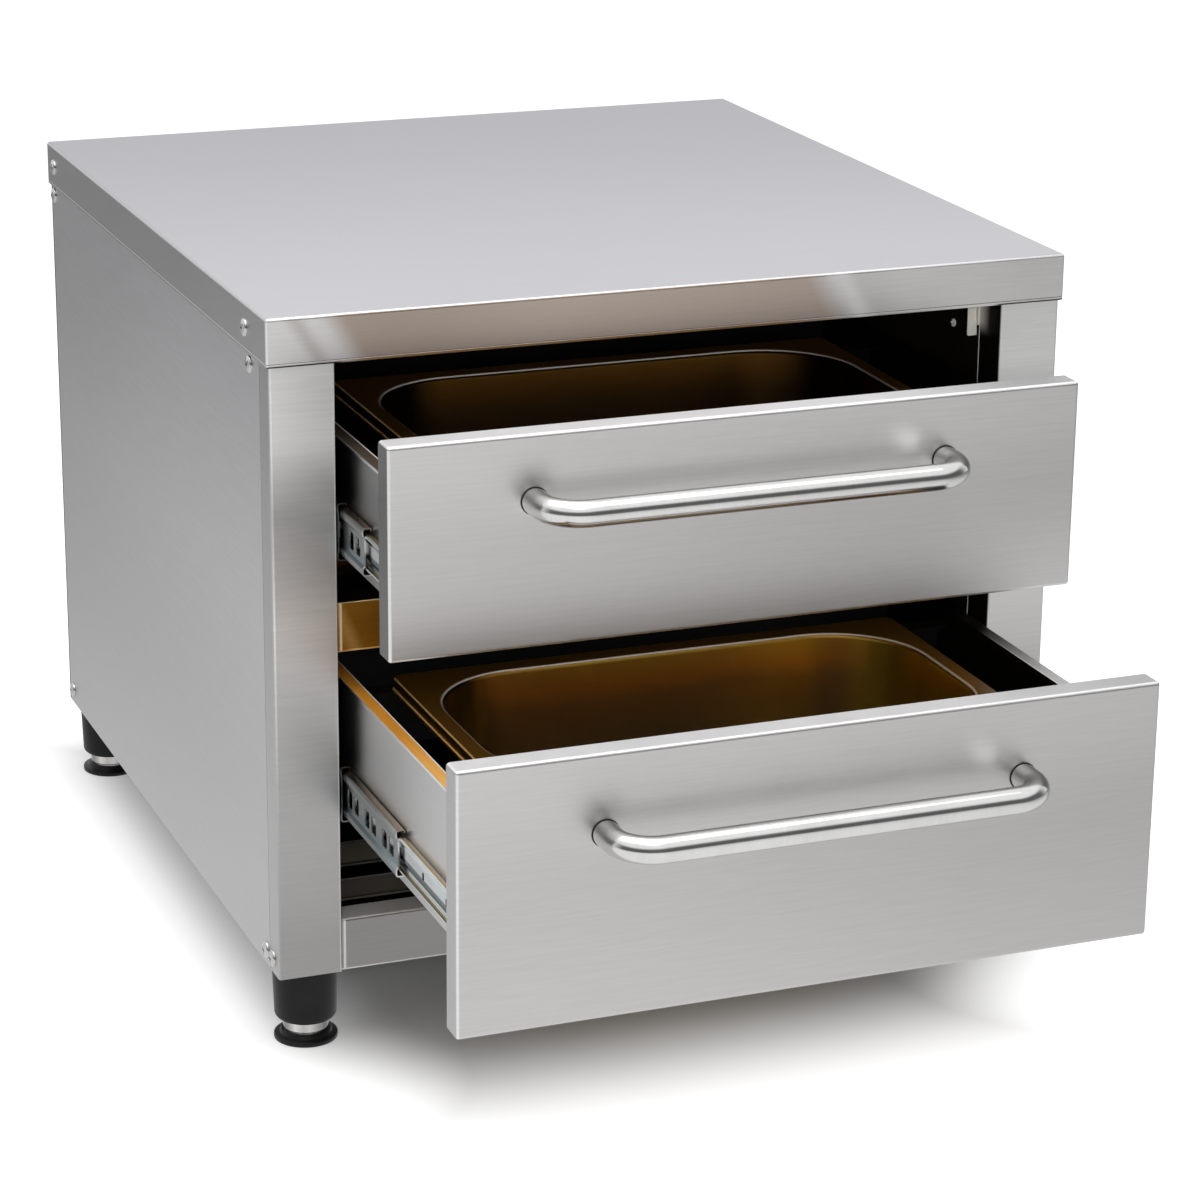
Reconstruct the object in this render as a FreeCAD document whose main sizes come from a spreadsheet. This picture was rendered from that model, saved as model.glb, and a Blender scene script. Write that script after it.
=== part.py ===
import FreeCAD, Part
import math
import os
from types import SimpleNamespace

import Sketcher

# A two-drawer warming cabinet in folded stainless sheet, standing on four levelling feet.
# X runs to the right along the front, Y runs to the back, Z is up, in millimetres.
# The origin is on the floor, under the middle of the casing. Both drawers stand partly open.

Vector = FreeCAD.Vector

DRIVING = {
    # Casing
    "cabinet_width": 800,
    "cabinet_depth": 840,
    "casing_height": 647,
    "leg_height": 78,
    "cap_height": 46,
    "cap_overhang": 3,
    "skin": 1.2,
    "frame_skin": 1.5,
    "bend": 1.2,
    "edge_round": 3,
    # Corner posts and rails
    "post_face": 63,
    "post_return": 42,
    "post_strip": 29.4,
    "seam": 0.6,
    "rail_recess": 4,
    "rail_flange": 30,
    "middle_rail_drop": 277,
    "middle_rail_height": 49,
    "bottom_rail_height": 52,
    # Inner walls, shelf, floor and back
    "wall_flange": 18,
    "inner_wall_depth": 757,
    "shelf_flange": 20,
    "floor_flange": 30,
    "floor_setback": 8,
    "rear_flange": 25,
    "bracket_width": 12,
    "bracket_leg": 20,
    "bracket_height": 75,
    "vent_length": 70,
    "vent_height": 6,
    "vent_pitch": 18,
    "vent_count": 8,
    "vent_column": 150,
    "vent_top": 610,
    # Drawers
    "front_width": 680,
    "front_thickness": 25,
    "front_gap": 1,
    "upper_front_drop": 83,
    "upper_front_height": 200,
    "upper_opening": 132.7,
    "upper_slide_drop": 208,
    "upper_pan_depth": 100,
    "upper_pan_rim_drop": 49.5,
    "upper_handle_drop": 62,
    "lower_front_drop": 320,
    "lower_front_height": 250,
    "lower_opening": 313.7,
    "lower_slide_drop": 467,
    "lower_pan_depth": 150,
    "lower_pan_rim_drop": 58,
    "lower_handle_drop": 74,
    "box_length": 510,
    "box_wall_drop": 45,
    "box_wall_below_slide": 32,
    "box_flange": 14,
    "box_lip": 6,
    # Telescopic slides
    "slide_length": 500,
    "slide_setback": 2,
    "slide_clearance": 0.5,
    "slide_thickness": 13,
    "slide_sheet": 1.4,
    "outer_half": 28,
    "outer_reach": 10.4,
    "middle_half": 23,
    "middle_start": 2.8,
    "middle_reach": 12.2,
    "inner_half": 17.4,
    "inner_start": 5.6,
    "race_lip": 2,
    "web_band": 11,
    "web_step": 2.2,
    "window_length": 14,
    "window_height": 17,
    "window_bridge": 6,
    "window_pitch": 52,
    "window_count": 9,
    "slot_length": 5,
    "slot_height": 8,
    "slot_pitch": 64,
    "slot_count": 7,
    # Gastronorm pans, 1/1 size, long side across the drawer
    "pan_length": 530,
    "pan_width": 325,
    "pan_setback": 60,
    "pan_sheet": 1.2,
    "pan_rim_x": 20,
    "pan_rim_y": 26,
    "pan_rim_lip": 14,
    "pan_rim_corner": 20,
    "pan_well_corner": 92,
    "pan_draft": 6,
    "pan_rail_flange": 22,
    "pan_rail_web": 40,
    "pan_rail_inset": 10,
    # Handles
    "handle_span": 405,
    "handle_diameter": 25,
    "handle_projection": 52,
    "handle_bend": 34,
    "handle_screw": 8,
    "handle_screw_depth": 18,
    "handle_screw_head": 16,
    "handle_screw_head_height": 5,
    # Heating elements and electrics
    "element_width": 38,
    "element_thickness": 8,
    "element_rise": 16,
    "element_front": 350,
    "element_length": 430,
    "element_stud": 2.5,
    "element_stud_height": 12,
    "element_stud_pitch": 22,
    "standoff_width": 18,
    "standoff_depth": 14,
    "gland_x": 280,
    "gland_z": 160,
    "gland_bore": 4.5,
    "gland_thread": 10,
    "gland_clearance": 0.2,
    "gland_nut": 14,
    "gland_nut_length": 20,
    "gland_inside": 14,
    "terminal_length": 66,
    "terminal_height": 24,
    "terminal_depth": 22,
    "terminal_way": 6,
    "terminal_ways": 3,
    "thermostat_width": 52,
    "thermostat_height": 40,
    "thermostat_depth": 34,
    "thermostat_boss": 9,
    "thermostat_boss_length": 10,
    "electrics_rise": 90,
    # Legs and levelling feet
    "leg_inset": 36,
    "leg_top": 32,
    "leg_waist": 30,
    "leg_end_height": 22,
    "leg_bore": 22.5,
    "leg_bore_top": 70,
    "foot_sleeve": 22,
    "foot_sleeve_top": 56,
    "foot_sleeve_bottom": 9,
    "foot_pad": 31,
    "foot_pad_edge": 5.5,
    "foot_pad_hub": 25.5,
    # Casing bolts: sizes of the head, then distances from the casing's edges
    "bolt_head": 7,
    "bolt_head_height": 3.6,
    "cap_bolt_rear": 28,
    "cap_bolt_front": 64,
    "high_bolt_rear": 14,
    "high_bolt_front": 60,
    "low_bolt_rear": 17,
    "low_bolt_front": 42,
    "post_bolt_front": 20,
    "bolt_below_cap": 11,
    "bolt_above_floor": 15,
}


class Size:
    """A length that carries its number and the sheet formula that gives it."""

    def __init__(self, number, formula):
        self.number = number
        self.formula = formula

    def __add__(self, other):
        other = as_size(other)
        return Size(self.number + other.number, f"({self.formula} + {other.formula})")

    def __radd__(self, other):
        return as_size(other) + self

    def __sub__(self, other):
        other = as_size(other)
        return Size(self.number - other.number, f"({self.formula} - {other.formula})")

    def __rsub__(self, other):
        return as_size(other) - self

    def __mul__(self, other):
        other = as_size(other)
        return Size(self.number * other.number, f"({self.formula} * {other.formula})")

    def __rmul__(self, other):
        return as_size(other) * self

    def __truediv__(self, other):
        other = as_size(other)
        return Size(self.number / other.number, f"({self.formula} / {other.formula})")

    def __neg__(self):
        return Size(-self.number, f"(-{self.formula})")


def as_size(thing):
    return thing if isinstance(thing, Size) else Size(float(thing), f"({thing!r})")


doc = FreeCAD.newDocument("WarmingCabinet")
sheet = doc.addObject("Spreadsheet::Sheet", "Sizes")
for row, (name, number) in enumerate(DRIVING.items(), 1):
    sheet.set(f"A{row}", name)
    sheet.set(f"B{row}", str(number))
    sheet.setAlias(f"B{row}", name)
doc.recompute()
size = SimpleNamespace(**{name: Size(number, f"Sizes.{name}") for name, number in DRIVING.items()})

nodes = []

TOLERANCE = 1e-3
OVERCUT = 4  # a cut through a sheet is this many sheet thicknesses long
BOLT_SIDES = 8
SHANK_SIDES = 12
FOOT_SIDES = 24
HEXAGON = 6
BEND_STEPS = 4  # straight steps in each quarter bend of a rod
UP = Vector(0, 0, 1)
TOWARDS_FRONT = FreeCAD.Rotation(UP, Vector(0, -1, 0))
TOWARDS_REAR = FreeCAD.Rotation(UP, Vector(0, 1, 0))


# Small tools for sketches and features


def bind(thing, prop, amount):
    thing.setExpression(prop, as_size(amount).formula)


def place(thing, x, y, z):
    for axis, amount in zip("xyz", (x, y, z)):
        bind(thing, f"Placement.Base.{axis}", amount)


def keep(thing, name):
    """Marks a finished sub-part and names it."""
    thing.Label = name
    nodes.append(thing)


def new_body(name):
    return doc.addObject("PartDesign::Body", name)


def origin_feature(body, role):
    return next(feature for feature in body.Origin.OriginFeatures if feature.Role == role)


def new_sketch(body, plane, offset):
    sketch = body.newObject("Sketcher::SketchObject", "Outline")
    sketch.AttachmentSupport = (origin_feature(body, plane), [""])
    sketch.MapMode = "FlatFace"
    offset = as_size(offset)
    bind(sketch, "AttachmentOffset.Base.z", -offset if plane == "XZ_Plane" else offset)
    return sketch


def flat(point):
    return Vector(as_size(point[0]).number, as_size(point[1]).number, 0)


def constrain(sketch, constraint, amount):
    index = sketch.addConstraint(constraint)
    bind(sketch, f"Constraints[{index}]", amount)


def fix_point(sketch, curve, end, point):
    for kind, amount in zip(("DistanceX", "DistanceY"), point):
        amount = as_size(amount)
        constrain(sketch, Sketcher.Constraint(kind, -1, 1, curve, end, amount.number), amount)


def join_ends(sketch, first, first_end, second, second_end):
    sketch.addConstraint(Sketcher.Constraint("Coincident", first, first_end, second, second_end))


def draw_polygon(sketch, points):
    first = sketch.GeometryCount
    count = len(points)
    for index in range(count):
        following = points[(index + 1) % count]
        sketch.addGeometry(Part.LineSegment(flat(points[index]), flat(following)), False)
    for index in range(count):
        join_ends(sketch, first + index, 2, first + (index + 1) % count, 1)
        fix_point(sketch, first + index, 1, points[index])


def draw_rectangle(sketch, left, right, low, high):
    draw_polygon(sketch, [(left, low), (right, low), (right, high), (left, high)])


def draw_circle(sketch, centre, radius):
    radius = as_size(radius)
    circle = sketch.addGeometry(Part.Circle(flat(centre), UP, radius.number), False)
    constrain(sketch, Sketcher.Constraint("Radius", circle, radius.number), radius)
    fix_point(sketch, circle, 3, centre)


def draw_rounded_rectangle(sketch, half_length, front, rear, inset, radius):
    """A rectangle with quarter-circle corners, drawn a given distance inside its nominal edges."""
    half = half_length - inset
    near = front + inset
    far = rear - inset
    corners = [(-half, near), (half, near), (half, far), (-half, far)]
    count = len(corners)
    entries = [step_towards(corners[index], corners[index - 1], radius) for index in range(count)]
    exits = [step_towards(corners[index], corners[(index + 1) % count], radius) for index in range(count)]
    runs = []
    for start, finish in zip(exits, entries[1:] + entries[:1]):
        run = sketch.addGeometry(Part.LineSegment(flat(start), flat(finish)), False)
        fix_point(sketch, run, 1, start)
        fix_point(sketch, run, 2, finish)
        runs.append(run)
    for index in range(count):
        start, corner, finish = flat(entries[index]), flat(corners[index]), flat(exits[index])
        centre = start + finish - corner
        middle = centre + (corner - centre) * (radius.number / (corner - centre).Length)
        arc = sketch.addGeometry(Part.Arc(start, middle, finish), False)
        entry_end = 1 if (sketch.getPoint(arc, 1) - start).Length < TOLERANCE else 2
        join_ends(sketch, arc, entry_end, runs[index - 1], 2)
        join_ends(sketch, arc, 3 - entry_end, runs[index], 1)
        constrain(sketch, Sketcher.Constraint("Radius", arc, radius.number), radius)


def step_towards(corner, neighbour, distance):
    """The point a given distance from a corner along its run to a neighbour."""
    point = []
    for here, there in zip(corner, neighbour):
        change = as_size(there).number - as_size(here).number
        sign = (change > TOLERANCE) - (change < -TOLERANCE)
        point.append(as_size(here) + distance * sign)
    return tuple(point)


def pad(body, sketch, length, backwards=False, draft=0):
    feature = body.newObject("PartDesign::Pad", "Pad")
    feature.Profile = sketch
    feature.Reversed = backwards
    bind(feature, "Length", length)
    bind(feature, "TaperAngle", draft)
    doc.recompute()


def cut_through(body, sketch, thickness):
    """Cuts a sketch out of a sheet of the given thickness, to both sides of the sketch."""
    before = body.Shape.Volume
    feature = body.newObject("PartDesign::Pocket", "Pocket")
    feature.Profile = sketch
    feature.Midplane = True
    bind(feature, "Length", thickness * OVERCUT)
    doc.recompute()
    if body.Shape.Volume > before - TOLERANCE:
        raise RuntimeError(f"a pocket in {body.Name} cuts nothing")
    return feature


def repeat(body, feature, axis, pitch, count, backwards=False):
    row = body.newObject("PartDesign::LinearPattern", "Row")
    row.Originals = [feature]
    row.Direction = (origin_feature(body, axis), [""])
    row.Reversed = backwards
    bind(row, "Length", pitch * (count - 1))
    bind(row, "Occurrences", count)
    body.Tip = row
    doc.recompute()


def select(shapes, kind, test):
    """The names of those edges or faces whose box passes a test."""
    return [f"{kind}{index}" for index, shape in enumerate(shapes, 1) if test(shape.BoundBox)]


def round_edges(body, radius, test):
    names = select(body.Shape.Edges, "Edge", test)
    if not names:
        raise RuntimeError(f"no edge to round on {body.Name}")
    base = body.Tip
    feature = body.newObject("PartDesign::Fillet", "Round")
    feature.Base = (base, names)
    bind(feature, "Radius", radius)
    doc.recompute()


def block(name, low, high):
    """A rectangular body between two corners, as a pad of its floor outline."""
    body = new_body(name)
    sketch = new_sketch(body, "XY_Plane", low[2])
    draw_rectangle(sketch, low[0], high[0], low[1], high[1])
    pad(body, sketch, as_size(high[2]) - low[2])
    return body


def hollow(body, thickness, open_face):
    """Shells a body inwards and leaves one face open."""
    faces = select(body.Shape.Faces, "Face", open_face)
    before = body.Shape.Volume
    base = body.Tip
    feature = body.newObject("PartDesign::Thickness", "Shell")
    feature.Base = (base, faces)
    feature.Reversed = True
    bind(feature, "Value", thickness)
    doc.recompute()
    if body.Shape.Volume > before / 2:
        raise RuntimeError(f"{body.Name} was not shelled")


EXTRUDED_ALONG = {"XY_Plane": "Z", "XZ_Plane": "Y", "YZ_Plane": "X"}
FLAT_AXES = {"XY_Plane": ("x", "y"), "XZ_Plane": ("x", "z"), "YZ_Plane": ("y", "z")}


def is_along(box, axis):
    spans = {"X": box.XLength, "Y": box.YLength, "Z": box.ZLength}
    others = [span for name, span in spans.items() if name != axis]
    return spans[axis] > TOLERANCE and max(others) < TOLERANCE


def left_normal(start, finish):
    run = flat(finish) - flat(start)
    run.normalize()
    return (round(-run.y), round(run.x))


def folded_sheet(name, plane, path, thickness, start, finish, rounded_folds=()):
    """A sheet folded at right angles along a path, which is its right-hand surface.

    The sheet lies to the left of the path, and runs from start to finish along the third axis.
    The outside of the folds at the points numbered in rounded_folds is rounded."""
    normals = [left_normal(a, b) for a, b in zip(path, path[1:])]
    offset = []
    for index, point in enumerate(path):
        sides = {normals[max(index - 1, 0)], normals[min(index, len(normals) - 1)]}
        shift = [sum(side[k] for side in sides) for k in (0, 1)]
        offset.append((point[0] + thickness * shift[0], point[1] + thickness * shift[1]))
    body = new_body(name)
    sketch = new_sketch(body, plane, start)
    draw_polygon(sketch, list(path) + offset[::-1])
    pad(body, sketch, as_size(finish) - start, backwards=plane == "XZ_Plane")
    corners = []
    for index in rounded_folds:
        before, after = normals[index - 1], normals[index]
        turns_left = before[0] * after[1] - before[1] * after[0] > 0
        corners.append(path[index] if turns_left else offset[index])
    if corners:
        round_folds(body, plane, corners, size.bend + thickness)
    return body


def round_folds(body, plane, corners, radius):
    first, second = FLAT_AXES[plane]

    def on_fold(box):
        if not is_along(box, EXTRUDED_ALONG[plane]):
            return False
        here = Vector(getattr(box.Center, first), getattr(box.Center, second), 0)
        return any((here - flat(corner)).Length < TOLERANCE for corner in corners)

    round_edges(body, radius, on_fold)


def primitive(kind, name, sizes, x, y, z, rotation=None):
    thing = doc.addObject(kind, name)
    for prop, amount in sizes.items():
        bind(thing, prop, amount)
    if rotation:
        thing.Placement = FreeCAD.Placement(Vector(0, 0, 0), rotation)
    place(thing, x, y, z)
    return thing


def prism(name, sides, radius, height, x, y, z, rotation=None):
    """A bar with few sides, for the small round pieces that repeat."""
    thing = primitive("Part::Prism", name, {"Circumradius": radius, "Height": height}, x, y, z, rotation)
    thing.Polygon = sides
    return thing


def loft(name, sections):
    thing = doc.addObject("Part::Loft", name)
    thing.Sections = sections
    thing.Solid = True
    thing.Ruled = True
    return thing


def rod_bend(name, centre, entry, leave, height, radius):
    """A quarter bend from entry to leave, as a loft through circles."""
    arms = [[end[k] - centre[k] for k in (0, 1)] for end in (entry, leave)]
    sections = []
    for step in range(BEND_STEPS + 1):
        angle = math.pi / 2 * step / BEND_STEPS
        cosine, sine = math.cos(angle), math.sin(angle)
        x, y = [centre[k] + arms[0][k] * cosine + arms[1][k] * sine for k in (0, 1)]
        tangent = flat(arms[1]) * cosine - flat(arms[0]) * sine
        turn = FreeCAD.Rotation(UP, Vector(), tangent, "ZXY")
        sections.append(primitive("Part::Circle", f"{name}_section", {"Radius": radius}, x, y, height, turn))
    return loft(name, sections)


def bent_rod(name, corners, height, bend, radius):
    """A round rod in straight level runs along X and Y, joined by quarter bends."""
    pieces = []
    last = len(corners) - 1
    for index in range(last):
        start, finish = corners[index], corners[index + 1]
        if index > 0:
            start = step_towards(start, finish, bend)
        if index + 1 < last:
            finish = step_towards(finish, corners[index], bend)
        run = flat(finish) - flat(start)
        along = 0 if abs(run.x) > abs(run.y) else 1
        length = (finish[along] - start[along]) * (1 if run[along] > 0 else -1)
        sizes = {"Radius": radius, "Height": length}
        turn = FreeCAD.Rotation(UP, run)
        pieces.append(primitive("Part::Cylinder", f"{name}_run", sizes, *start, height, turn))
    for before, corner, after in zip(corners, corners[1:], corners[2:]):
        entry = step_towards(corner, before, bend)
        leave = step_towards(corner, after, bend)
        centre = [entry[k] + leave[k] - corner[k] for k in (0, 1)]
        pieces.append(rod_bend(f"{name}_bend", centre, entry, leave, height, radius))
    rod = doc.addObject("Part::MultiFuse", name)
    rod.Shapes = pieces
    return rod


def boolean(kind, name, base, tool):
    thing = doc.addObject(kind, name)
    thing.Base = base
    thing.Tool = tool
    return thing


def compound(name, members):
    thing = doc.addObject("Part::Compound", name)
    thing.Links = members
    return thing


# Places that several pieces share

HALF_WIDTH = size.cabinet_width / 2
FRONT = -size.cabinet_depth / 2
REAR = size.cabinet_depth / 2
FLOOR = size.leg_height
TOP = size.leg_height + size.casing_height
CAP_UNDERSIDE = TOP - size.frame_skin
OPENING_HALF = HALF_WIDTH - size.post_face
SLIDE_FACE = OPENING_HALF - size.slide_clearance
BOX_FACE = SLIDE_FACE - size.slide_thickness
SLIDE_FRONT = FRONT + size.slide_setback
INNER_WALL_FRONT = FRONT + size.post_return + size.seam
INNER_WALL_REAR = INNER_WALL_FRONT + size.inner_wall_depth
SHELF_TOP = TOP - size.middle_rail_drop
BACK_INSIDE = REAR - size.skin
SIDES = {"left": -1, "right": 1}


def oriented(path, sign):
    """Keeps the sheet on the inner side of a path that is drawn for the right-hand piece."""
    return path if sign > 0 else path[::-1]


# Casing


def make_top_panel():
    low = (-HALF_WIDTH - size.cap_overhang, FRONT - size.cap_overhang, TOP - size.cap_height)
    high = (HALF_WIDTH + size.cap_overhang, REAR + size.cap_overhang, TOP)
    body = block("top_panel", low, high)
    underside = low[2].number + TOLERANCE
    hollow(body, size.frame_skin, lambda box: box.ZMax < underside)
    round_edges(body, size.edge_round, lambda box: box.ZMin > TOP.number - TOLERANCE)
    keep(body, "top_panel")


def make_side_panel(side, sign):
    outer = HALF_WIDTH * sign
    path = [(outer, FRONT + size.post_strip + size.seam), (outer, BACK_INSIDE)]
    path.append((outer - size.rear_flange * sign, BACK_INSIDE))
    name = f"{side}_side_panel"
    body = folded_sheet(name, "XY_Plane", oriented(path, sign), size.skin, FLOOR, CAP_UNDERSIDE, [1])
    keep(body, name)


def make_post(side, sign):
    """A corner post: side strip, face and inner return, notched at its foot for the floor tray."""
    outer = HALF_WIDTH * sign
    inner = OPENING_HALF * sign
    path = [(inner, FRONT + size.post_return), (inner, FRONT)]
    path += [(outer, FRONT), (outer, FRONT + size.post_strip)]
    name = f"front_{side}_post"
    path = oriented(path, sign)
    body = folded_sheet(name, "XY_Plane", path, size.frame_skin, FLOOR, CAP_UNDERSIDE, [1, 2])
    notch = new_sketch(body, "YZ_Plane", inner)
    notch_front = FRONT + size.floor_setback - size.seam
    notch_rear = FRONT + size.post_return + size.seam
    draw_rectangle(notch, notch_front, notch_rear, FLOOR - size.seam, FLOOR + size.frame_skin + size.seam)
    cut_through(body, notch, size.frame_skin)
    keep(body, name)


def make_rail(name, top, height, lower_flange):
    face = FRONT + size.rail_recess
    back = face + size.rail_flange
    path = [(back, top), (face, top), (face, top - height)]
    if lower_flange:
        path.append((back, top - height))
    folds = range(1, len(path) - 1)
    keep(folded_sheet(name, "YZ_Plane", path, size.frame_skin, -OPENING_HALF, OPENING_HALF, folds), name)


def make_inner_wall(side, sign):
    face = SLIDE_FACE * sign
    outer = face + size.wall_flange * sign
    low = FLOOR + size.frame_skin
    path = [(outer, low), (face, low), (face, CAP_UNDERSIDE), (outer, CAP_UNDERSIDE)]
    name = f"{side}_inner_wall"
    path = oriented(path, -sign)
    keep(folded_sheet(name, "XZ_Plane", path, size.skin, INNER_WALL_FRONT, INNER_WALL_REAR), name)


def make_top_brackets():
    brackets = []
    finish = INNER_WALL_FRONT + size.bracket_width
    for side, sign in SIDES.items():
        face = SLIDE_FACE * sign
        path = [(face, CAP_UNDERSIDE - size.bracket_height), (face, CAP_UNDERSIDE)]
        path.append((face - size.bracket_leg * sign, CAP_UNDERSIDE))
        name = f"{side}_top_bracket"
        path = oriented(path, sign)
        brackets.append(folded_sheet(name, "XZ_Plane", path, size.frame_skin, INNER_WALL_FRONT, finish))
    keep(compound("top_brackets", brackets), "top_brackets")


def make_divider_shelf():
    low = SHELF_TOP - size.shelf_flange
    path = [(SLIDE_FACE, low), (SLIDE_FACE, SHELF_TOP), (-SLIDE_FACE, SHELF_TOP), (-SLIDE_FACE, low)]
    start = FRONT + size.rail_recess + size.rail_flange + size.seam
    keep(folded_sheet("divider_shelf", "XZ_Plane", path, size.skin, start, INNER_WALL_REAR), "divider_shelf")


def make_bottom_panel():
    edge = HALF_WIDTH - size.skin - size.seam
    high = FLOOR + size.floor_flange
    path = [(-edge, high), (-edge, FLOOR), (edge, FLOOR), (edge, high)]
    front = FRONT + size.floor_setback
    rear = BACK_INSIDE - size.skin - size.seam
    keep(folded_sheet("bottom_panel", "XZ_Plane", path, size.frame_skin, front, rear), "bottom_panel")


def make_back_panel():
    body = block("back_panel", (-HALF_WIDTH, BACK_INSIDE, FLOOR), (HALF_WIDTH, REAR, CAP_UNDERSIDE))
    reach = size.vent_length / 2
    for sign in SIDES.values():
        middle = size.vent_column * sign
        vent = new_sketch(body, "XZ_Plane", REAR)
        draw_rectangle(vent, middle - reach, middle + reach, size.vent_top - size.vent_height, size.vent_top)
        slot = cut_through(body, vent, size.skin)
        repeat(body, slot, "Z_Axis", size.vent_pitch, size.vent_count, backwards=True)
    hole = new_sketch(body, "XZ_Plane", REAR)
    draw_circle(hole, (size.gland_x, size.gland_z), size.gland_thread)
    cut_through(body, hole, size.skin)
    keep(body, "back_panel")


def bolt_head(name, x, y, z, outward):
    """A bolt's head, with few sides, that stands on the point and faces along outward."""
    turn = FreeCAD.Rotation(UP, outward)
    return prism(name, BOLT_SIDES, size.bolt_head, size.bolt_head_height, x, y, z, turn)


def make_casing_bolts():
    cap_middle = TOP - size.cap_height / 2
    high = TOP - size.cap_height - size.bolt_below_cap
    low = FLOOR + size.bolt_above_floor
    heads = []
    for side, sign in SIDES.items():
        cap_face = (HALF_WIDTH + size.cap_overhang) * sign
        face = HALF_WIDTH * sign
        spots = [
            (cap_face, REAR - size.cap_bolt_rear, cap_middle),
            (cap_face, FRONT + size.cap_bolt_front, cap_middle),
            (face, REAR - size.high_bolt_rear, high),
            (face, FRONT + size.high_bolt_front, high),
            (face, REAR - size.low_bolt_rear, low),
            (face, FRONT + size.low_bolt_front, low),
            (face, FRONT + size.post_bolt_front, low),
        ]
        heads += [bolt_head(f"{side}_bolt", *spot, Vector(sign, 0, 0)) for spot in spots]
        x = (HALF_WIDTH - size.rear_flange / 2) * sign
        for z in (low, (low + high) / 2, high):
            heads.append(bolt_head(f"{side}_back_bolt", x, REAR, z, Vector(0, 1, 0)))
    keep(compound("casing_bolts", heads), "casing_bolts")


# Heating and electrics

ELEMENT_HEIGHTS = {
    "upper": SHELF_TOP + size.element_rise,
    "lower": FLOOR + size.frame_skin + size.element_rise,
}
STANDOFF_ROWS = (0.15, 0.85)  # shares of the element's length


def make_element(level, low):
    """A strip heater under the pan: a flat metal-clad bar with both terminal studs at the back."""
    name = f"{level}_heating_element"
    left = -size.element_width / 2
    front = -size.element_front
    sizes = {"Length": size.element_width, "Width": size.element_length, "Height": size.element_thickness}
    bar = primitive("Part::Box", f"{name}_bar", sizes, left, front, low)
    studs = []
    for side, sign in SIDES.items():
        x = size.element_stud_pitch / 2 * sign
        y = front + size.element_length - size.element_stud_pitch
        z = low + size.element_thickness
        stud = f"{name}_{side}_stud"
        studs.append(prism(stud, HEXAGON, size.element_stud, size.element_stud_height, x, y, z))
    keep(boolean("Part::Fuse", name, bar, compound(f"{name}_studs", studs)), name)


def make_standoffs():
    """Ceramic blocks that carry the strip heaters clear of the sheet."""
    blocks = []
    width, depth = size.standoff_width, size.standoff_depth
    for level, height in ELEMENT_HEIGHTS.items():
        for share in STANDOFF_ROWS:
            sizes = {"Length": width, "Width": depth, "Height": size.element_rise}
            y = size.element_length * share - size.element_front - depth / 2
            z = height - size.element_rise
            blocks.append(primitive("Part::Box", f"{level}_standoff", sizes, -width / 2, y, z))
    keep(compound("element_standoffs", blocks), "element_standoffs")


def make_cable_gland():
    """A gland with a hexagon outside the back panel and a threaded stub through it."""
    x, z = size.gland_x, size.gland_z
    nut = prism("gland_nut", HEXAGON, size.gland_nut, size.gland_nut_length, x, REAR, z, TOWARDS_REAR)
    stub_length = size.skin + size.gland_inside
    inside = REAR - stub_length
    thread = size.gland_thread - size.gland_clearance
    stub = prism("gland_stub", SHANK_SIDES, thread, stub_length, x, inside, z, TOWARDS_REAR)
    bore_length = stub_length + size.gland_nut_length
    bore = prism("gland_bore", SHANK_SIDES, size.gland_bore, bore_length, x, inside, z, TOWARDS_REAR)
    gland = boolean("Part::Fuse", "gland_outside", nut, stub)
    keep(boolean("Part::Cut", "cable_gland", gland, bore), "cable_gland")


def make_terminal_block():
    left = size.gland_x - size.terminal_length / 2
    front = BACK_INSIDE - size.terminal_depth
    low = size.gland_z + size.electrics_rise
    high = (left + size.terminal_length, BACK_INSIDE, low + size.terminal_height)
    body = block("terminal_block", (left, front, low), high)
    way = new_sketch(body, "XY_Plane", low + size.terminal_height / 2)
    pitch = size.terminal_length / size.terminal_ways
    middle = (left + pitch / 2, front + size.terminal_depth / 2)
    half = size.terminal_way / 2
    draw_rectangle(way, middle[0] - half, middle[0] + half, middle[1] - half, middle[1] + half)
    opening = cut_through(body, way, size.terminal_height)
    repeat(body, opening, "X_Axis", pitch, size.terminal_ways)
    keep(body, "terminal_block")


def make_thermostat():
    front = BACK_INSIDE - size.thermostat_depth
    z = size.gland_z + size.electrics_rise * 2
    sizes = {"Length": size.thermostat_width, "Width": size.thermostat_depth}
    sizes["Height"] = size.thermostat_height
    left = size.gland_x - size.thermostat_width / 2
    case = primitive("Part::Box", "thermostat_case", sizes, left, front, z)
    boss_z = z + size.thermostat_height / 2
    radius, length = size.thermostat_boss, size.thermostat_boss_length
    boss = prism("thermostat_boss", SHANK_SIDES, radius, length, size.gland_x, front, boss_z, TOWARDS_FRONT)
    keep(boolean("Part::Fuse", "thermostat", case, boss), "thermostat")


# Telescopic slides


def lipped_channel(name, sign, web, step, reach, half, middle, start):
    """One rolled slide member: a channel whose flange edges turn in to hold the balls.

    web and reach are distances from the inner wall's face towards the drawer. The middle band of
    the web stands a step further towards the drawer."""
    back = (SLIDE_FACE - web) * sign
    edge = (SLIDE_FACE - reach) * sign
    lip = half - size.slide_sheet - size.race_lip
    profile = [(edge, lip), (edge, half), (back, half)]
    if step.number > 0:
        profile += [(back, size.web_band), (back - step * sign, size.web_band)]
    profile += [(x, -height) for x, height in reversed(profile)]
    path = [(x, middle + height) for x, height in profile]
    opens_inwards = 1 if reach.number > web.number else -1
    path = oriented(path, -sign * opens_inwards)
    return folded_sheet(name, "XZ_Plane", path, size.slide_sheet, start, start + size.slide_length)


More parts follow.
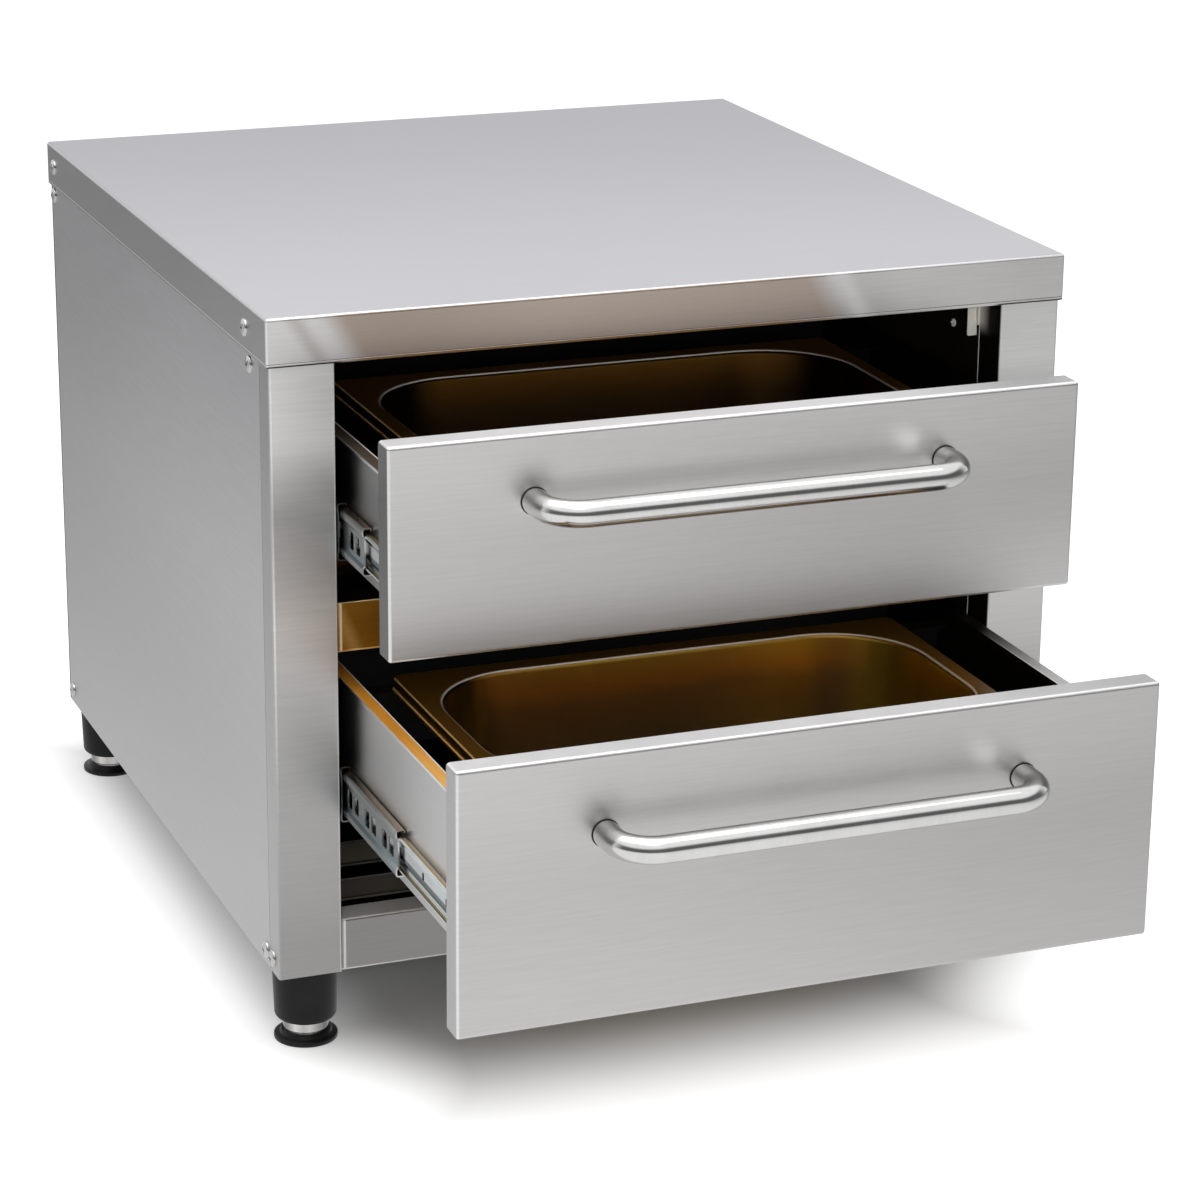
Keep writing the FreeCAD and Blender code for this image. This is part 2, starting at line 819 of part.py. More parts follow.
def make_slides(level, middle, opening):
    for side, sign in SIDES.items():
        stem = f"{level}_{side}_slide"
        flat_web = as_size(0)
        step = size.web_step
        start = SLIDE_FRONT
        sizes = (flat_web, flat_web, size.outer_reach, size.outer_half)
        keep(lipped_channel(f"{stem}_outer", sign, *sizes, middle, start), f"{stem}_outer")
        start = SLIDE_FRONT - opening / 2
        sizes = (size.middle_start, step, size.middle_reach, size.middle_half)
        carriage = lipped_channel(f"{stem}_middle", sign, *sizes, middle, start)
        cut_windows(carriage, (SLIDE_FACE - size.middle_start - step) * sign, middle, start)
        keep(carriage, f"{stem}_middle")
        start = SLIDE_FRONT - opening
        sizes = (size.slide_thickness - step, step, size.inner_start, size.inner_half)
        inner = lipped_channel(f"{stem}_inner", sign, *sizes, middle, start)
        cut_fixing_slots(inner, BOX_FACE * sign, middle, start)
        keep(inner, f"{stem}_inner")


def cut_windows(body, web, middle, start):
    """Pairs of stamped windows along the web of the intermediate member."""
    sketch = new_sketch(body, "YZ_Plane", web)
    half = size.window_height / 2
    y = start + size.window_bridge * 2
    for _ in range(2):
        end = y + size.window_length
        draw_rectangle(sketch, y, end, middle - half, middle + half)
        y = end + size.window_bridge
    windows = cut_through(body, sketch, size.slide_sheet)
    repeat(body, windows, "Y_Axis", size.window_pitch, size.window_count)


def cut_fixing_slots(body, web, middle, start):
    """Upright fixing slots along the web of the drawer member."""
    sketch = new_sketch(body, "YZ_Plane", web)
    y = start + size.slot_pitch / 2
    half = size.slot_height / 2
    draw_rectangle(sketch, y, y + size.slot_length, middle - half, middle + half)
    slots = cut_through(body, sketch, size.slide_sheet)
    repeat(body, slots, "Y_Axis", size.slot_pitch, size.slot_count)


# Drawers


def make_front(level, top, height, back, handle_height):
    half = size.front_width / 2
    face = back - size.front_thickness
    low = top - height
    body = block(f"{level}_drawer_front", (-half, face, low), (half, back, top))
    open_side = back.number - TOLERANCE
    hollow(body, size.frame_skin, lambda box: box.YMin > open_side)
    round_edges(body, size.edge_round, lambda box: box.YMax < face.number + TOLERANCE)
    holes = new_sketch(body, "XZ_Plane", face)
    for sign in SIDES.values():
        draw_circle(holes, (size.handle_span / 2 * sign, handle_height), size.handle_screw / 2)
    cut_through(body, holes, size.frame_skin)
    keep(body, f"{level}_drawer_front")
    reach = half - size.frame_skin
    plate_low = (-reach, back - size.frame_skin, low + size.frame_skin)
    name = f"{level}_front_inner_plate"
    keep(block(name, plate_low, (reach, back, top - size.frame_skin)), name)


def make_handle(level, face, height):
    """A bent bar, with a bore in each end for its screw."""
    half = size.handle_span / 2
    reach = face - size.handle_projection
    corners = [(-half, face), (-half, reach), (half, reach), (half, face)]
    rod = bent_rod(f"{level}_handle_rod", corners, height, size.handle_bend, size.handle_diameter / 2)
    bore = {"Radius": size.handle_screw / 2, "Height": size.handle_screw_depth}
    holes = []
    for side, sign in SIDES.items():
        name = f"{level}_{side}_handle_bore"
        holes.append(primitive("Part::Cylinder", name, bore, half * sign, face, height, TOWARDS_FRONT))
    name = f"{level}_handle"
    keep(boolean("Part::Cut", name, rod, compound(f"{level}_handle_bores", holes)), name)


def make_handle_screws(level, face, height):
    screws = []
    inside = face + size.frame_skin
    head_back = inside + size.handle_screw_head_height
    head_sizes = (HEXAGON, size.handle_screw_head / 2, size.handle_screw_head_height)
    shank_sizes = (SHANK_SIDES, size.handle_screw / 2, size.handle_screw_depth)
    for side, sign in SIDES.items():
        name = f"{level}_{side}_screw"
        x = size.handle_span / 2 * sign
        head = prism(f"{name}_head", *head_sizes, x, head_back, height, TOWARDS_FRONT)
        shank = prism(f"{name}_shank", *shank_sizes, x, inside, height, TOWARDS_FRONT)
        screws.append(boolean("Part::Fuse", name, head, shank))
    name = f"{level}_handle_screws"
    keep(compound(name, screws), name)


def make_box(level, top, low, back):
    rear = back + size.box_length
    top_fold = 2
    for side, sign in SIDES.items():
        face = BOX_FACE * sign
        inner = face - size.box_flange * sign
        path = [(inner, low), (face, low), (face, top), (inner, top), (inner, top - size.box_lip)]
        name = f"{level}_drawer_{side}_wall"
        path = oriented(path, sign)
        keep(folded_sheet(name, "XZ_Plane", path, size.skin, back, rear, [top_fold]), name)
    reach = BOX_FACE - size.skin
    name = f"{level}_drawer_back_wall"
    corner = (-reach, rear - size.skin, low + size.skin)
    keep(block(name, corner, (reach, rear, top - size.box_lip)), name)


def make_pan_rails(level, rim, back):
    """Two angles across the drawer, which the turned-down pan rim rests on."""
    top = rim - size.pan_rim_lip
    foot = top - size.pan_rail_web
    reach = BOX_FACE - size.skin
    front = back + size.pan_setback - size.pan_rail_inset
    rear = back + size.pan_setback + size.pan_width + size.pan_rail_inset
    paths = {
        "front": [(front + size.pan_rail_flange, top), (front, top), (front, foot)],
        "rear": [(rear, foot), (rear, top), (rear - size.pan_rail_flange, top)],
    }
    rails = []
    for end, path in paths.items():
        name = f"{level}_{end}_pan_rail"
        rails.append(folded_sheet(name, "YZ_Plane", path, size.frame_skin, -reach, reach))
    name = f"{level}_pan_rails"
    keep(compound(name, rails), name)


def pan_well(name, rim, depth, edges, inset):
    """A tapered block, a given distance inside the well's outer surface."""
    body = new_body(name)
    mouth = new_sketch(body, "XY_Plane", rim)
    draw_rounded_rectangle(mouth, *edges, inset, size.pan_well_corner - inset)
    pad(body, mouth, depth - inset, backwards=True, draft=-size.pan_draft)
    return body


def make_pan(level, rim, depth, back):
    """A deep-drawn pan: a tapered well with round corners, and a flat rim with a turned-down lip."""
    half = size.pan_length / 2
    front = back + size.pan_setback
    rear = front + size.pan_width
    well_edges = (half - size.pan_rim_x, front + size.pan_rim_y, rear - size.pan_rim_y)
    rim_edges = (half, front, rear)
    name = f"{level}_pan"
    body = pan_well(name, rim, depth, well_edges, as_size(0))
    inside = pan_well(f"{name}_inside", rim, depth, well_edges, size.pan_sheet)
    cut = body.newObject("PartDesign::Boolean", "Hollow")
    cut.setObjects([inside])
    cut.Type = "Cut"
    overlap = size.pan_sheet / 2
    flat_rim = new_sketch(body, "XY_Plane", rim)
    draw_rounded_rectangle(flat_rim, *rim_edges, as_size(0), size.pan_rim_corner)
    draw_rounded_rectangle(flat_rim, *well_edges, overlap, size.pan_well_corner - overlap)
    pad(body, flat_rim, size.pan_sheet, backwards=True)
    lip = new_sketch(body, "XY_Plane", rim)
    draw_rounded_rectangle(lip, *rim_edges, as_size(0), size.pan_rim_corner)
    draw_rounded_rectangle(lip, *rim_edges, size.pan_sheet, size.pan_rim_corner - size.pan_sheet)
    pad(body, lip, size.pan_rim_lip, backwards=True)
    keep(body, name)


def make_drawer(level, front_drop, front_height, opening, slide_drop, rim_drop, pan_depth, handle_drop):
    top = TOP - front_drop
    back = FRONT - size.front_gap - opening
    face = back - size.front_thickness
    slide_middle = TOP - slide_drop
    handle_height = top - handle_drop
    rim = top - rim_drop
    make_front(level, top, front_height, back, handle_height)
    make_handle(level, face, handle_height)
    make_handle_screws(level, face, handle_height)
    make_box(level, top - size.box_wall_drop, slide_middle - size.box_wall_below_slide, back)
    make_pan_rails(level, rim, back)
    make_pan(level, rim, pan_depth, back)
    make_slides(level, slide_middle, opening)


# Legs and levelling feet


def make_leg(name, x, y):
    """A leg that tapers towards its open end, with a bore for the foot."""
    sections = []
    for radius, height in ((size.leg_waist, size.leg_end_height), (size.leg_top, size.leg_height)):
        sizes = {"Circumradius": radius}
        outline = primitive("Part::RegularPolygon", f"{name}_outline", sizes, x, y, height)
        outline.Polygon = FOOT_SIDES
        sections.append(outline)
    bore_length = size.leg_bore_top - size.leg_end_height
    bore = prism(f"{name}_bore", FOOT_SIDES, size.leg_bore, bore_length, x, y, size.leg_end_height)
    return boolean("Part::Cut", name, loft(f"{name}_taper", sections), bore)


def make_foot(corner, x, y):
    """A plated sleeve that runs in the leg, on a stepped pad."""
    low = size.foot_sleeve_bottom
    name = f"{corner}_foot_sleeve"
    keep(prism(name, FOOT_SIDES, size.foot_sleeve, size.foot_sleeve_top - low, x, y, low), name)
    name = f"{corner}_foot_pad"
    disc = prism(f"{name}_disc", FOOT_SIDES, size.foot_pad, size.foot_pad_edge, x, y, 0)
    hub_height = low - size.foot_pad_edge
    hub = prism(f"{name}_hub", FOOT_SIDES, size.foot_pad_hub, hub_height, x, y, size.foot_pad_edge)
    keep(boolean("Part::Fuse", name, disc, hub), name)


def make_legs():
    legs = []
    for end, along in {"front": -1, "rear": 1}.items():
        for side, sign in SIDES.items():
            x = (HALF_WIDTH - size.leg_inset) * sign
            y = (REAR - size.leg_inset) * along
            legs.append(make_leg(f"{end}_{side}_leg", x, y))
            make_foot(f"{end}_{side}", x, y)
    keep(compound("leg_sleeves", legs), "leg_sleeves")


make_top_panel()
for side, sign in SIDES.items():
    make_side_panel(side, sign)
    make_post(side, sign)
    make_inner_wall(side, sign)
make_rail("middle_rail", SHELF_TOP, size.middle_rail_height, lower_flange=True)
make_rail("bottom_rail", FLOOR + size.bottom_rail_height, size.bottom_rail_height, lower_flange=False)
make_top_brackets()
make_divider_shelf()
make_bottom_panel()
make_back_panel()
make_casing_bolts()
for level, height in ELEMENT_HEIGHTS.items():
    make_element(level, height)
make_standoffs()
make_cable_gland()
make_terminal_block()
make_thermostat()
make_drawer(
    "upper", size.upper_front_drop, size.upper_front_height, size.upper_opening,
    size.upper_slide_drop, size.upper_pan_rim_drop, size.upper_pan_depth, size.upper_handle_drop,
)
make_drawer(
    "lower", size.lower_front_drop, size.lower_front_height, size.lower_opening,
    size.lower_slide_drop, size.lower_pan_rim_drop, size.lower_pan_depth, size.lower_handle_drop,
)
make_legs()

doc.recompute()
faults = [thing.Label for thing in doc.Objects if {"Invalid", "Error"} & set(thing.State)]
faults += [node.Label for node in nodes if node.Shape.isNull() or not node.Shape.isValid()]
if faults:
    raise RuntimeError(f"these pieces failed: {faults}")
os.makedirs("parts", exist_ok=True)
for node in nodes:
    node.Shape.exportStep(f"parts/{node.Label}.step")
print(len(nodes), "sub-parts written")
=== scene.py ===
import math

import bmesh
import bpy
from mathutils import Matrix, Vector


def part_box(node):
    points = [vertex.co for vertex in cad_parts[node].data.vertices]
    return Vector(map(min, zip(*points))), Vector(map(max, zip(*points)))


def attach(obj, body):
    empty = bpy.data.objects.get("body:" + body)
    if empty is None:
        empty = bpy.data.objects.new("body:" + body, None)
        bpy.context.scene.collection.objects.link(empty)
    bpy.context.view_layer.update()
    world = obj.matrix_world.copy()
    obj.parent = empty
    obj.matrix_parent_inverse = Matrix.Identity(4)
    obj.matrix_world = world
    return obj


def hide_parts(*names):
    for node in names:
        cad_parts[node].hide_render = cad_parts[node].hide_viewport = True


# A two-drawer warming cabinet in brushed stainless sheet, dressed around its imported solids.
# Metres, X to the right along the front, Y to the back, Z up. The origin is on the floor.

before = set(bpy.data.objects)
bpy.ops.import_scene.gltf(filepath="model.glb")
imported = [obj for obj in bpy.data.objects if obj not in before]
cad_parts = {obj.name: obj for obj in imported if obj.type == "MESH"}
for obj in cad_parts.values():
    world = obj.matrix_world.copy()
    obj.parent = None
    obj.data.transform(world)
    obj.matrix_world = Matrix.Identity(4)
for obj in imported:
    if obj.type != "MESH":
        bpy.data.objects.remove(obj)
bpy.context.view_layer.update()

MM = 0.001
LEVELS = ("upper", "lower")
SIDES = {"left": -1, "right": 1}
FOOT_CORNERS = [f"{end}_{side}" for end in ("front", "rear") for side in SIDES]
Y_AXIS = Vector((0, 1, 0))
Z_AXIS = Vector((0, 0, 1))

# Finishes: shader sums in plain expressions

MIX_SHARE = 0
MIX_FIRST = 6
MIX_SECOND = 7
MIX_RESULT = 2


class Wire:
    """A shader socket that can be used in sums, and that adds nodes to its own tree."""

    def __init__(self, tree, socket=None):
        self.tree = tree
        self.socket = socket

    def node(self, kind, settings=None, inputs=None, output=0):
        """Adds a node: its settings first, then the values or links of its sockets. Gives one output."""
        made = self.tree.nodes.new(kind)
        for name, value in (settings or {}).items():
            if name == "stops":
                set_stops(made.color_ramp, value)
            else:
                setattr(made, name, value)
        for name, value in (inputs or {}).items():
            if isinstance(value, Wire):
                self.tree.links.new(value.socket, made.inputs[name])
            else:
                made.inputs[name].default_value = value
        return Wire(self.tree, made.outputs[output] if made.outputs else None)

    def sum(self, operation, *terms):
        return self.node("ShaderNodeMath", {"operation": operation}, dict(enumerate(terms)))

    def __add__(self, other):
        return self.sum("ADD", self, other)

    __radd__ = __add__

    def __sub__(self, other):
        return self.sum("SUBTRACT", self, other)

    def __rsub__(self, other):
        return self.sum("SUBTRACT", other, self)

    def __mul__(self, other):
        return self.sum("MULTIPLY", self, other)

    __rmul__ = __mul__

    def larger(self, other):
        return self.sum("MAXIMUM", self, other)

    def size(self):
        return self.sum("ABSOLUTE", self)

    def sign(self):
        return self.sum("SIGN", self)

    def spread(self, low, high):
        """Moves a 0 to 1 value to the range from low to high."""
        return self * (high - low) + low

    def between(self, low, high):
        """0 below low, 1 above high and smooth between them."""
        sockets = {"Value": self, "From Min": low, "From Max": high}
        return self.node("ShaderNodeMapRange", {"interpolation_type": "SMOOTHSTEP"}, sockets)

    def band(self, low, high, soft):
        """1 between two values and 0 outside them, with soft ends."""
        return self.between(low - soft, low + soft) * (1 - self.between(high - soft, high + soft))

    def part(self, axis):
        """One of a vector's three numbers."""
        return self.node("ShaderNodeSeparateXYZ", {}, {0: self}, axis)

    def facing(self, axis):
        """How far the surface looks along an axis, from -1 to 1."""
        return self.node("ShaderNodeNewGeometry", output="Normal").part(axis)

    def noise(self, scale, detail=2.0):
        """Cloud noise on a place vector, with a scale for each axis."""
        stretched = self.node("ShaderNodeVectorMath", {"operation": "MULTIPLY"}, {0: self, 1: scale})
        sockets = {"Vector": stretched, "Scale": 1.0, "Detail": detail}
        return self.node("ShaderNodeTexNoise", {}, sockets, "Fac")

    def cloud(self, scale, detail=2.0):
        """Cloud noise with one scale for all axes."""
        return self.noise((scale, scale, scale), detail)

    def tinted(self, stops):
        """A colour ramp along this value."""
        return self.node("ShaderNodeValToRGB", {"stops": stops}, {"Fac": self}, "Color")

    def mixed(self, first, second):
        """The first colour where this value is 0, the second where it is 1."""
        sockets = {MIX_SHARE: self, MIX_FIRST: opaque(first), MIX_SECOND: opaque(second)}
        return self.node("ShaderNodeMix", {"data_type": "RGBA"}, sockets, MIX_RESULT)

    def times(self, colour):
        """A colour multiplied by another one."""
        settings = {"data_type": "RGBA", "blend_type": "MULTIPLY"}
        sockets = {MIX_SHARE: 1.0, MIX_FIRST: self, MIX_SECOND: opaque(colour)}
        return self.node("ShaderNodeMix", settings, sockets, MIX_RESULT)


def set_stops(ramp, stops):
    """Places a colour ramp's stops from (position, colour) pairs."""
    while len(ramp.elements) < len(stops):
        ramp.elements.new(1.0)
    for element, (position, colour) in zip(ramp.elements, stops):
        element.position = position
        element.color = opaque(colour)


def opaque(colour):
    """A colour with full alpha. A wire stays as it is."""
    return colour if isinstance(colour, Wire) else (*colour, 1.0)


def shade(colour, amount):
    """A colour made lighter or darker."""
    return tuple(min(1.0, part * amount) for part in colour)


def grey(tone):
    return (tone, tone, tone)


def new_finish(name):
    """An empty material, and the place on the piece, from which its sums start."""
    material = bpy.data.materials.new(name)
    material.use_nodes = True
    material.node_tree.nodes.clear()
    return material, Wire(material.node_tree).node("ShaderNodeTexCoord", output="Object")


def coat(material, place, colour, gloss, bump, shine=1.0, specular=0.5):
    """Ends a material in a Principled shader. Bump is a height, its strength and its depth."""
    height, relief, depth = bump
    raised = place.node("ShaderNodeBump", {}, {"Height": height, "Strength": relief, "Distance": depth})
    inputs = {"Base Color": colour, "Roughness": gloss, "Metallic": shine}
    inputs.update({"Specular IOR Level": specular, "Normal": raised})
    shader = place.node("ShaderNodeBsdfPrincipled", {}, inputs)
    place.node("ShaderNodeOutputMaterial", {}, {"Surface": shader})
    return material


STEEL = (0.61, 0.60, 0.595)
FRONT_STEEL = (0.73, 0.72, 0.715)
# Near-black painted over faces inside the cabinet as shade.
SHADE_BLACK = (0.006, 0.0045, 0.0035)
# Gold painted on a flange as reflected warm light.
GOLD_REFLECTION = (0.90, 0.37, 0.045)
PALE_GOLD_REFLECTION = (1.0, 0.57, 0.18)
AMBER_EDGE_HIGHLIGHT = (0.95, 0.62, 0.28)
GRAIN_ACROSS = 420.0
GRAIN_ALONG = 16.0
FINER = 2.7
HAZE = 2.2
GLOSS_SWING = 0.07
DULL = 0.1
LEVEL_GRAIN = (GRAIN_ALONG, GRAIN_ALONG, GRAIN_ACROSS)
CAP_GRAIN = (GRAIN_ALONG, GRAIN_ACROSS, 1.0)
WALL_GRAIN = (GRAIN_ACROSS, GRAIN_ALONG, GRAIN_ACROSS)


def brushed_coat(material, place, colour, roughness, grain=LEVEL_GRAIN, contrast=0.13, shine=None):
    """Ends a brushed sheet: lines, finer lines and slow haze wear its colour, and the lines are cut in.

    Grain is how fast the lines change along each axis. Shine is 1 where the sheet is bare metal."""
    lines = place.noise(grain, 3.0)
    fine = place.noise([FINER * step for step in grain])
    haze = place.cloud(HAZE, 3.0)
    worn = lines * 0.5 + fine * 0.2 + haze * 0.3
    tone = worn.tinted([(0.3, grey(1 - contrast)), (0.7, grey(1.0))]).times(colour)
    gloss = (lines * 0.6 + haze * 0.4).spread(roughness - GLOSS_SWING, roughness + GLOSS_SWING)
    bump = (lines * 0.7 + fine * 0.3, 0.08, 0.2 * MM)
    if shine is None:
        return coat(material, place, tone, gloss, bump)
    return coat(material, place, tone, gloss, bump, shine, DULL)


def brushed_steel(name, tint, roughness):
    """Plain sheet with a fine level grain."""
    material, place = new_finish(name)
    return brushed_coat(material, place, tint, roughness)


CAP_SLANT = 0.6
CAP_SKIRT_LIGHT_FALL = (0.20, 0.38)
CAP_WARM_REFLECTION_CHANGE = (-0.3, -0.1)
CAP_SHADE_STREAK = (0.052, 0.064, 0.009)
CAP_WARM_REFLECTION_PATCH = (0.092, 0.572, 0.016)
CAP_HIGHLIGHT_STREAK = (0.588, 0.606, 0.010)
CAP_LIT_MATT_FROM = (0.18, 0.24)
HEM_SHADE_LINE = (0.8 * MM, 3.2 * MM, 0.3 * MM)
HEM_SHADE_REACH = (-0.32, 0.13, 0.04)
POST_GAP_SHADOW = (1.3 * MM, 1.9 * MM)
POST_GAP_SHADOW_REACH = (0.325, 0.337)


def make_cap_steel(name, low):
    """The cap's sheet with painted light: a cool top painted lighter at the front and darker at the back, an
    underside painted near-black as shade, and a skirt whose flanks are painted darker than its front, with
    painted streaks of shade and highlight, a painted warm reflection, painted shade in the hem line and a
    painted shadow line over the posts.
    """
    material, place = new_finish(name)
    x, y, z = [place.part(axis) for axis in "XYZ"]
    rise = z - low.z
    top = place.facing("Z").between(0.5, 0.9)
    under = (0 - place.facing("Z")).between(0.3, 0.8)
    ahead = (0 - place.facing("Y")).between(0.4, 0.9)
    depth = (y + x * 0.12).between(-0.5, 0.5)
    # Painted light: the top lighter at the front and darker at the back, the skirt front darker towards its
    # right end.
    level = depth.tinted([(0.0, (0.60, 0.595, 0.625)), (1.0, (0.43, 0.427, 0.458))])
    skirt_light = x.between(*CAP_SKIRT_LIGHT_FALL).tinted([(0.0, (1.0, 0.98, 0.97)), (1.0, (0.85, 0.83, 0.825))])
    # The skirt front's painted warm reflection, paler towards the right.
    warm_reflection_tints = [(0.0, (0.61, 0.505, 0.435)), (1.0, (0.76, 0.64, 0.56))]
    warm_reflection_tint = x.between(*CAP_WARM_REFLECTION_CHANGE).tinted(warm_reflection_tints)
    slant = x + z * CAP_SLANT
    streak = slant.band(*CAP_HIGHLIGHT_STREAK)
    hem_shade = rise.band(*HEM_SHADE_LINE) * x.band(*HEM_SHADE_REACH)
    gap_shadow = (1 - rise.between(*POST_GAP_SHADOW)) * x.size().between(*POST_GAP_SHADOW_REACH)
    # The skirt's flanks are painted darker than its front as shade.
    skirt = ahead.mixed((0.57, 0.57, 0.572), skirt_light)
    # Painted on the skirt front: a streak of shade, a warm reflection, a highlight streak, shade in the hem
    # line and a shadow line over each post.
    for mark, tint in (
        (slant.band(*CAP_SHADE_STREAK), (0.75, 0.71, 0.68)),
        (slant.band(*CAP_WARM_REFLECTION_PATCH), warm_reflection_tint),
        (streak, (1.0, 0.985, 0.975)),
        (hem_shade, (0.55, 0.33, 0.15)),
        (gap_shadow, (0.07, 0.06, 0.05)),
    ):
        skirt = (ahead * mark).mixed(skirt, tint)
    # The underside is painted near-black as shade.
    colour = under.mixed(top.mixed(skirt, level), SHADE_BLACK)
    # The highlight streak and the right end are less metallic, so that they show lighter.
    lit_matt = ahead * (1 - top) * (streak * 0.45 + x.between(*CAP_LIT_MATT_FROM) * 0.2)
    sheet = {"X": x + y * (1 - top), "Y": y * top + z, "Z": 0.0}
    unfolded = place.node("ShaderNodeCombineXYZ", {}, sheet)
    return brushed_coat(material, unfolded, colour, 0.35, CAP_GRAIN, shine=1 - lit_matt)


FRONT_FOLD_HIGHLIGHT = (0.97, 0.965, 0.96)
FRONT_EDGE_HIGHLIGHT = (0.98, 0.975, 0.98)
FRONT_TOP_LIT = (0.86, 0.85, 0.86)
FRONT_TOP_SHADED = (0.50, 0.50, 0.51)


def make_front_steel(name, tint, return_shade, foot_light, low, high):
    """A drawer front with painted light: lighter at head and foot and towards the left, painted highlights
    on the left fold and the upper edge, a top painted lit at the left and shaded at the right, and side
    returns painted in a shade of their own.
    """
    material, place = new_finish(name)
    x, z = place.part("X"), place.part("Z")
    leftward = 0 - place.facing("X")
    up = place.facing("Z")
    middle = (low.z + high.z) / 2
    foot = 1 - z.between(low.z, middle)
    head = z.between(middle, high.z)
    right = x.between(-0.32, 0.28)
    # Painted light: lighter at the head and foot, and towards the left.
    painted_light_lift = right.spread(1.07, 0.97) * (foot * foot_light + head * right.spread(0.12, 0.22) + 1)
    # Painted highlight on the left fold.
    face = leftward.band(0.25, 0.8, 0.1).mixed(painted_light_lift.times(tint), FRONT_FOLD_HIGHLIGHT)
    # The side returns are painted in a shade of their own.
    shaded_return = leftward.between(0.75, 0.95)
    highlit = up.between(0.6, 0.9)
    # The top is painted lit at the left and shaded at the right, with a painted highlight on its rounded
    # edge.
    flat = x.between(0.12, 0.32).mixed(FRONT_TOP_LIT, FRONT_TOP_SHADED)
    top = up.between(0.95, 0.995).mixed(FRONT_EDGE_HIGHLIGHT, flat)
    colour = highlit.mixed(shaded_return.mixed(face, grey(return_shade)), top)
    return brushed_coat(material, place, colour, 0.39, shine=1 - highlit * 0.75)


def make_side_steel(name):
    """Side panels, with painted shade darker towards the bottom."""
    material, place = new_finish(name)
    painted_tones = [(0.0, grey(0.53)), (0.4, (0.645, 0.645, 0.647)), (1.0, (0.71, 0.707, 0.73))]
    return brushed_coat(material, place, place.part("Z").between(0.2, 0.75).tinted(painted_tones), 0.37)


POST_SHADED = (0.43, 0.42, 0.415)
POST_HALF_LIT = (0.62, 0.61, 0.605)
POST_LIT = (0.97, 0.95, 0.94)
POST_EDGE_HIGHLIGHT = (0.2 * MM, 2.2 * MM, 0.4 * MM)
POST_LIT_HEAD = (0.56, 0.62)
RETURN_HIGHLIGHT_HEIGHT = (0.648, 0.680, 0.008)
RETURN_HIGHLIGHT_DEPTH = (-0.400, -0.380)


def make_post_steel(name, inner_edge):
    """Corner posts: faces painted in bands of reflected light and shade, a painted highlight along the inner
    edge, and returns inside the opening painted near-black as shade with a painted highlight patch near the
    top. The left post's head is less metallic, so it shows lighter.
    """
    material, place = new_finish(name)
    x, y, z = [place.part(axis) for axis in "XYZ"]
    outward = place.facing("X") * x.sign()
    inside = (0 - outward).between(0.4, 0.9)
    # Painted bands of reflected light and shade up the face.
    rise = z + (place.noise((2.0, 2.0, 3.0)) - 0.5) * 0.1
    painted_tones = [(0.12, POST_SHADED), (0.28, shade(POST_HALF_LIT, 0.93)), (0.42, POST_LIT)]
    painted_tones += [(0.54, POST_HALF_LIT), (0.62, shade(POST_LIT, 1.05))]
    flank = outward.between(0.4, 0.9).mixed(rise.tinted(painted_tones), grey(0.53))
    # A painted highlight patch on the inner return, near the top.
    return_highlight = z.band(*RETURN_HIGHLIGHT_HEIGHT) * y.between(*RETURN_HIGHLIGHT_DEPTH)
    # A painted highlight along the inner edge.
    lip = (x.size() - inner_edge).band(*POST_EDGE_HIGHLIGHT) * (1 - inside)
    colour = lip.mixed(flank, (0.98, 0.97, 0.96))
    # The returns inside the opening are painted near-black as shade.
    colour = inside.mixed(colour, return_highlight.mixed(SHADE_BLACK, (0.95, 0.92, 0.84)))
    # The left post's head is less metallic, so that it shows lighter.
    lit_left_head = (0 - x).between(0.0, 0.1) * z.between(*POST_LIT_HEAD)
    shine = (1 - inside) * (1 - lip * 0.7) * (1 - lit_left_head * 0.35) * 0.85
    return brushed_coat(material, place, colour, 0.40, shine=shine)


def painted_shade_clouds(cloud):
    """Painted shade: near-black in lighter and darker clouds."""
    return cloud.tinted([(0.3, SHADE_BLACK), (0.75, shade(SHADE_BLACK, 3.0))])


def make_cavity_steel(name, edge_tone):
    """Sheet inside the cabinet, painted near-black as shade. Edge tone is that of its forward faces."""
    material, place = new_finish(name)
    cut = (0 - place.facing("Y")).between(0.6, 0.9)
    cloud = place.cloud(9.0, 4.0)
    colour = cut.mixed(painted_shade_clouds(cloud), grey(edge_tone))
    return coat(material, place, colour, cloud.spread(0.42, 0.62), (cloud, 0.04, 0.3 * MM), cut * 0.3, DULL)


def make_back_steel(name):
    """The back panel: dull brushed sheet outside, painted near-black as shade inside."""
    material, place = new_finish(name)
    inside = (0 - place.facing("Y")).between(0.5, 0.9)
    colour = inside.mixed((0.52, 0.515, 0.51), SHADE_BLACK)
    return brushed_coat(material, place, colour, 0.46, shine=1 - inside)


FLANGE_CHANGE = (0.50, 0.74)
SHADE_FADE = 0.16
FLANGE_GLINT = (-1.5 * MM, -1.1 * MM)


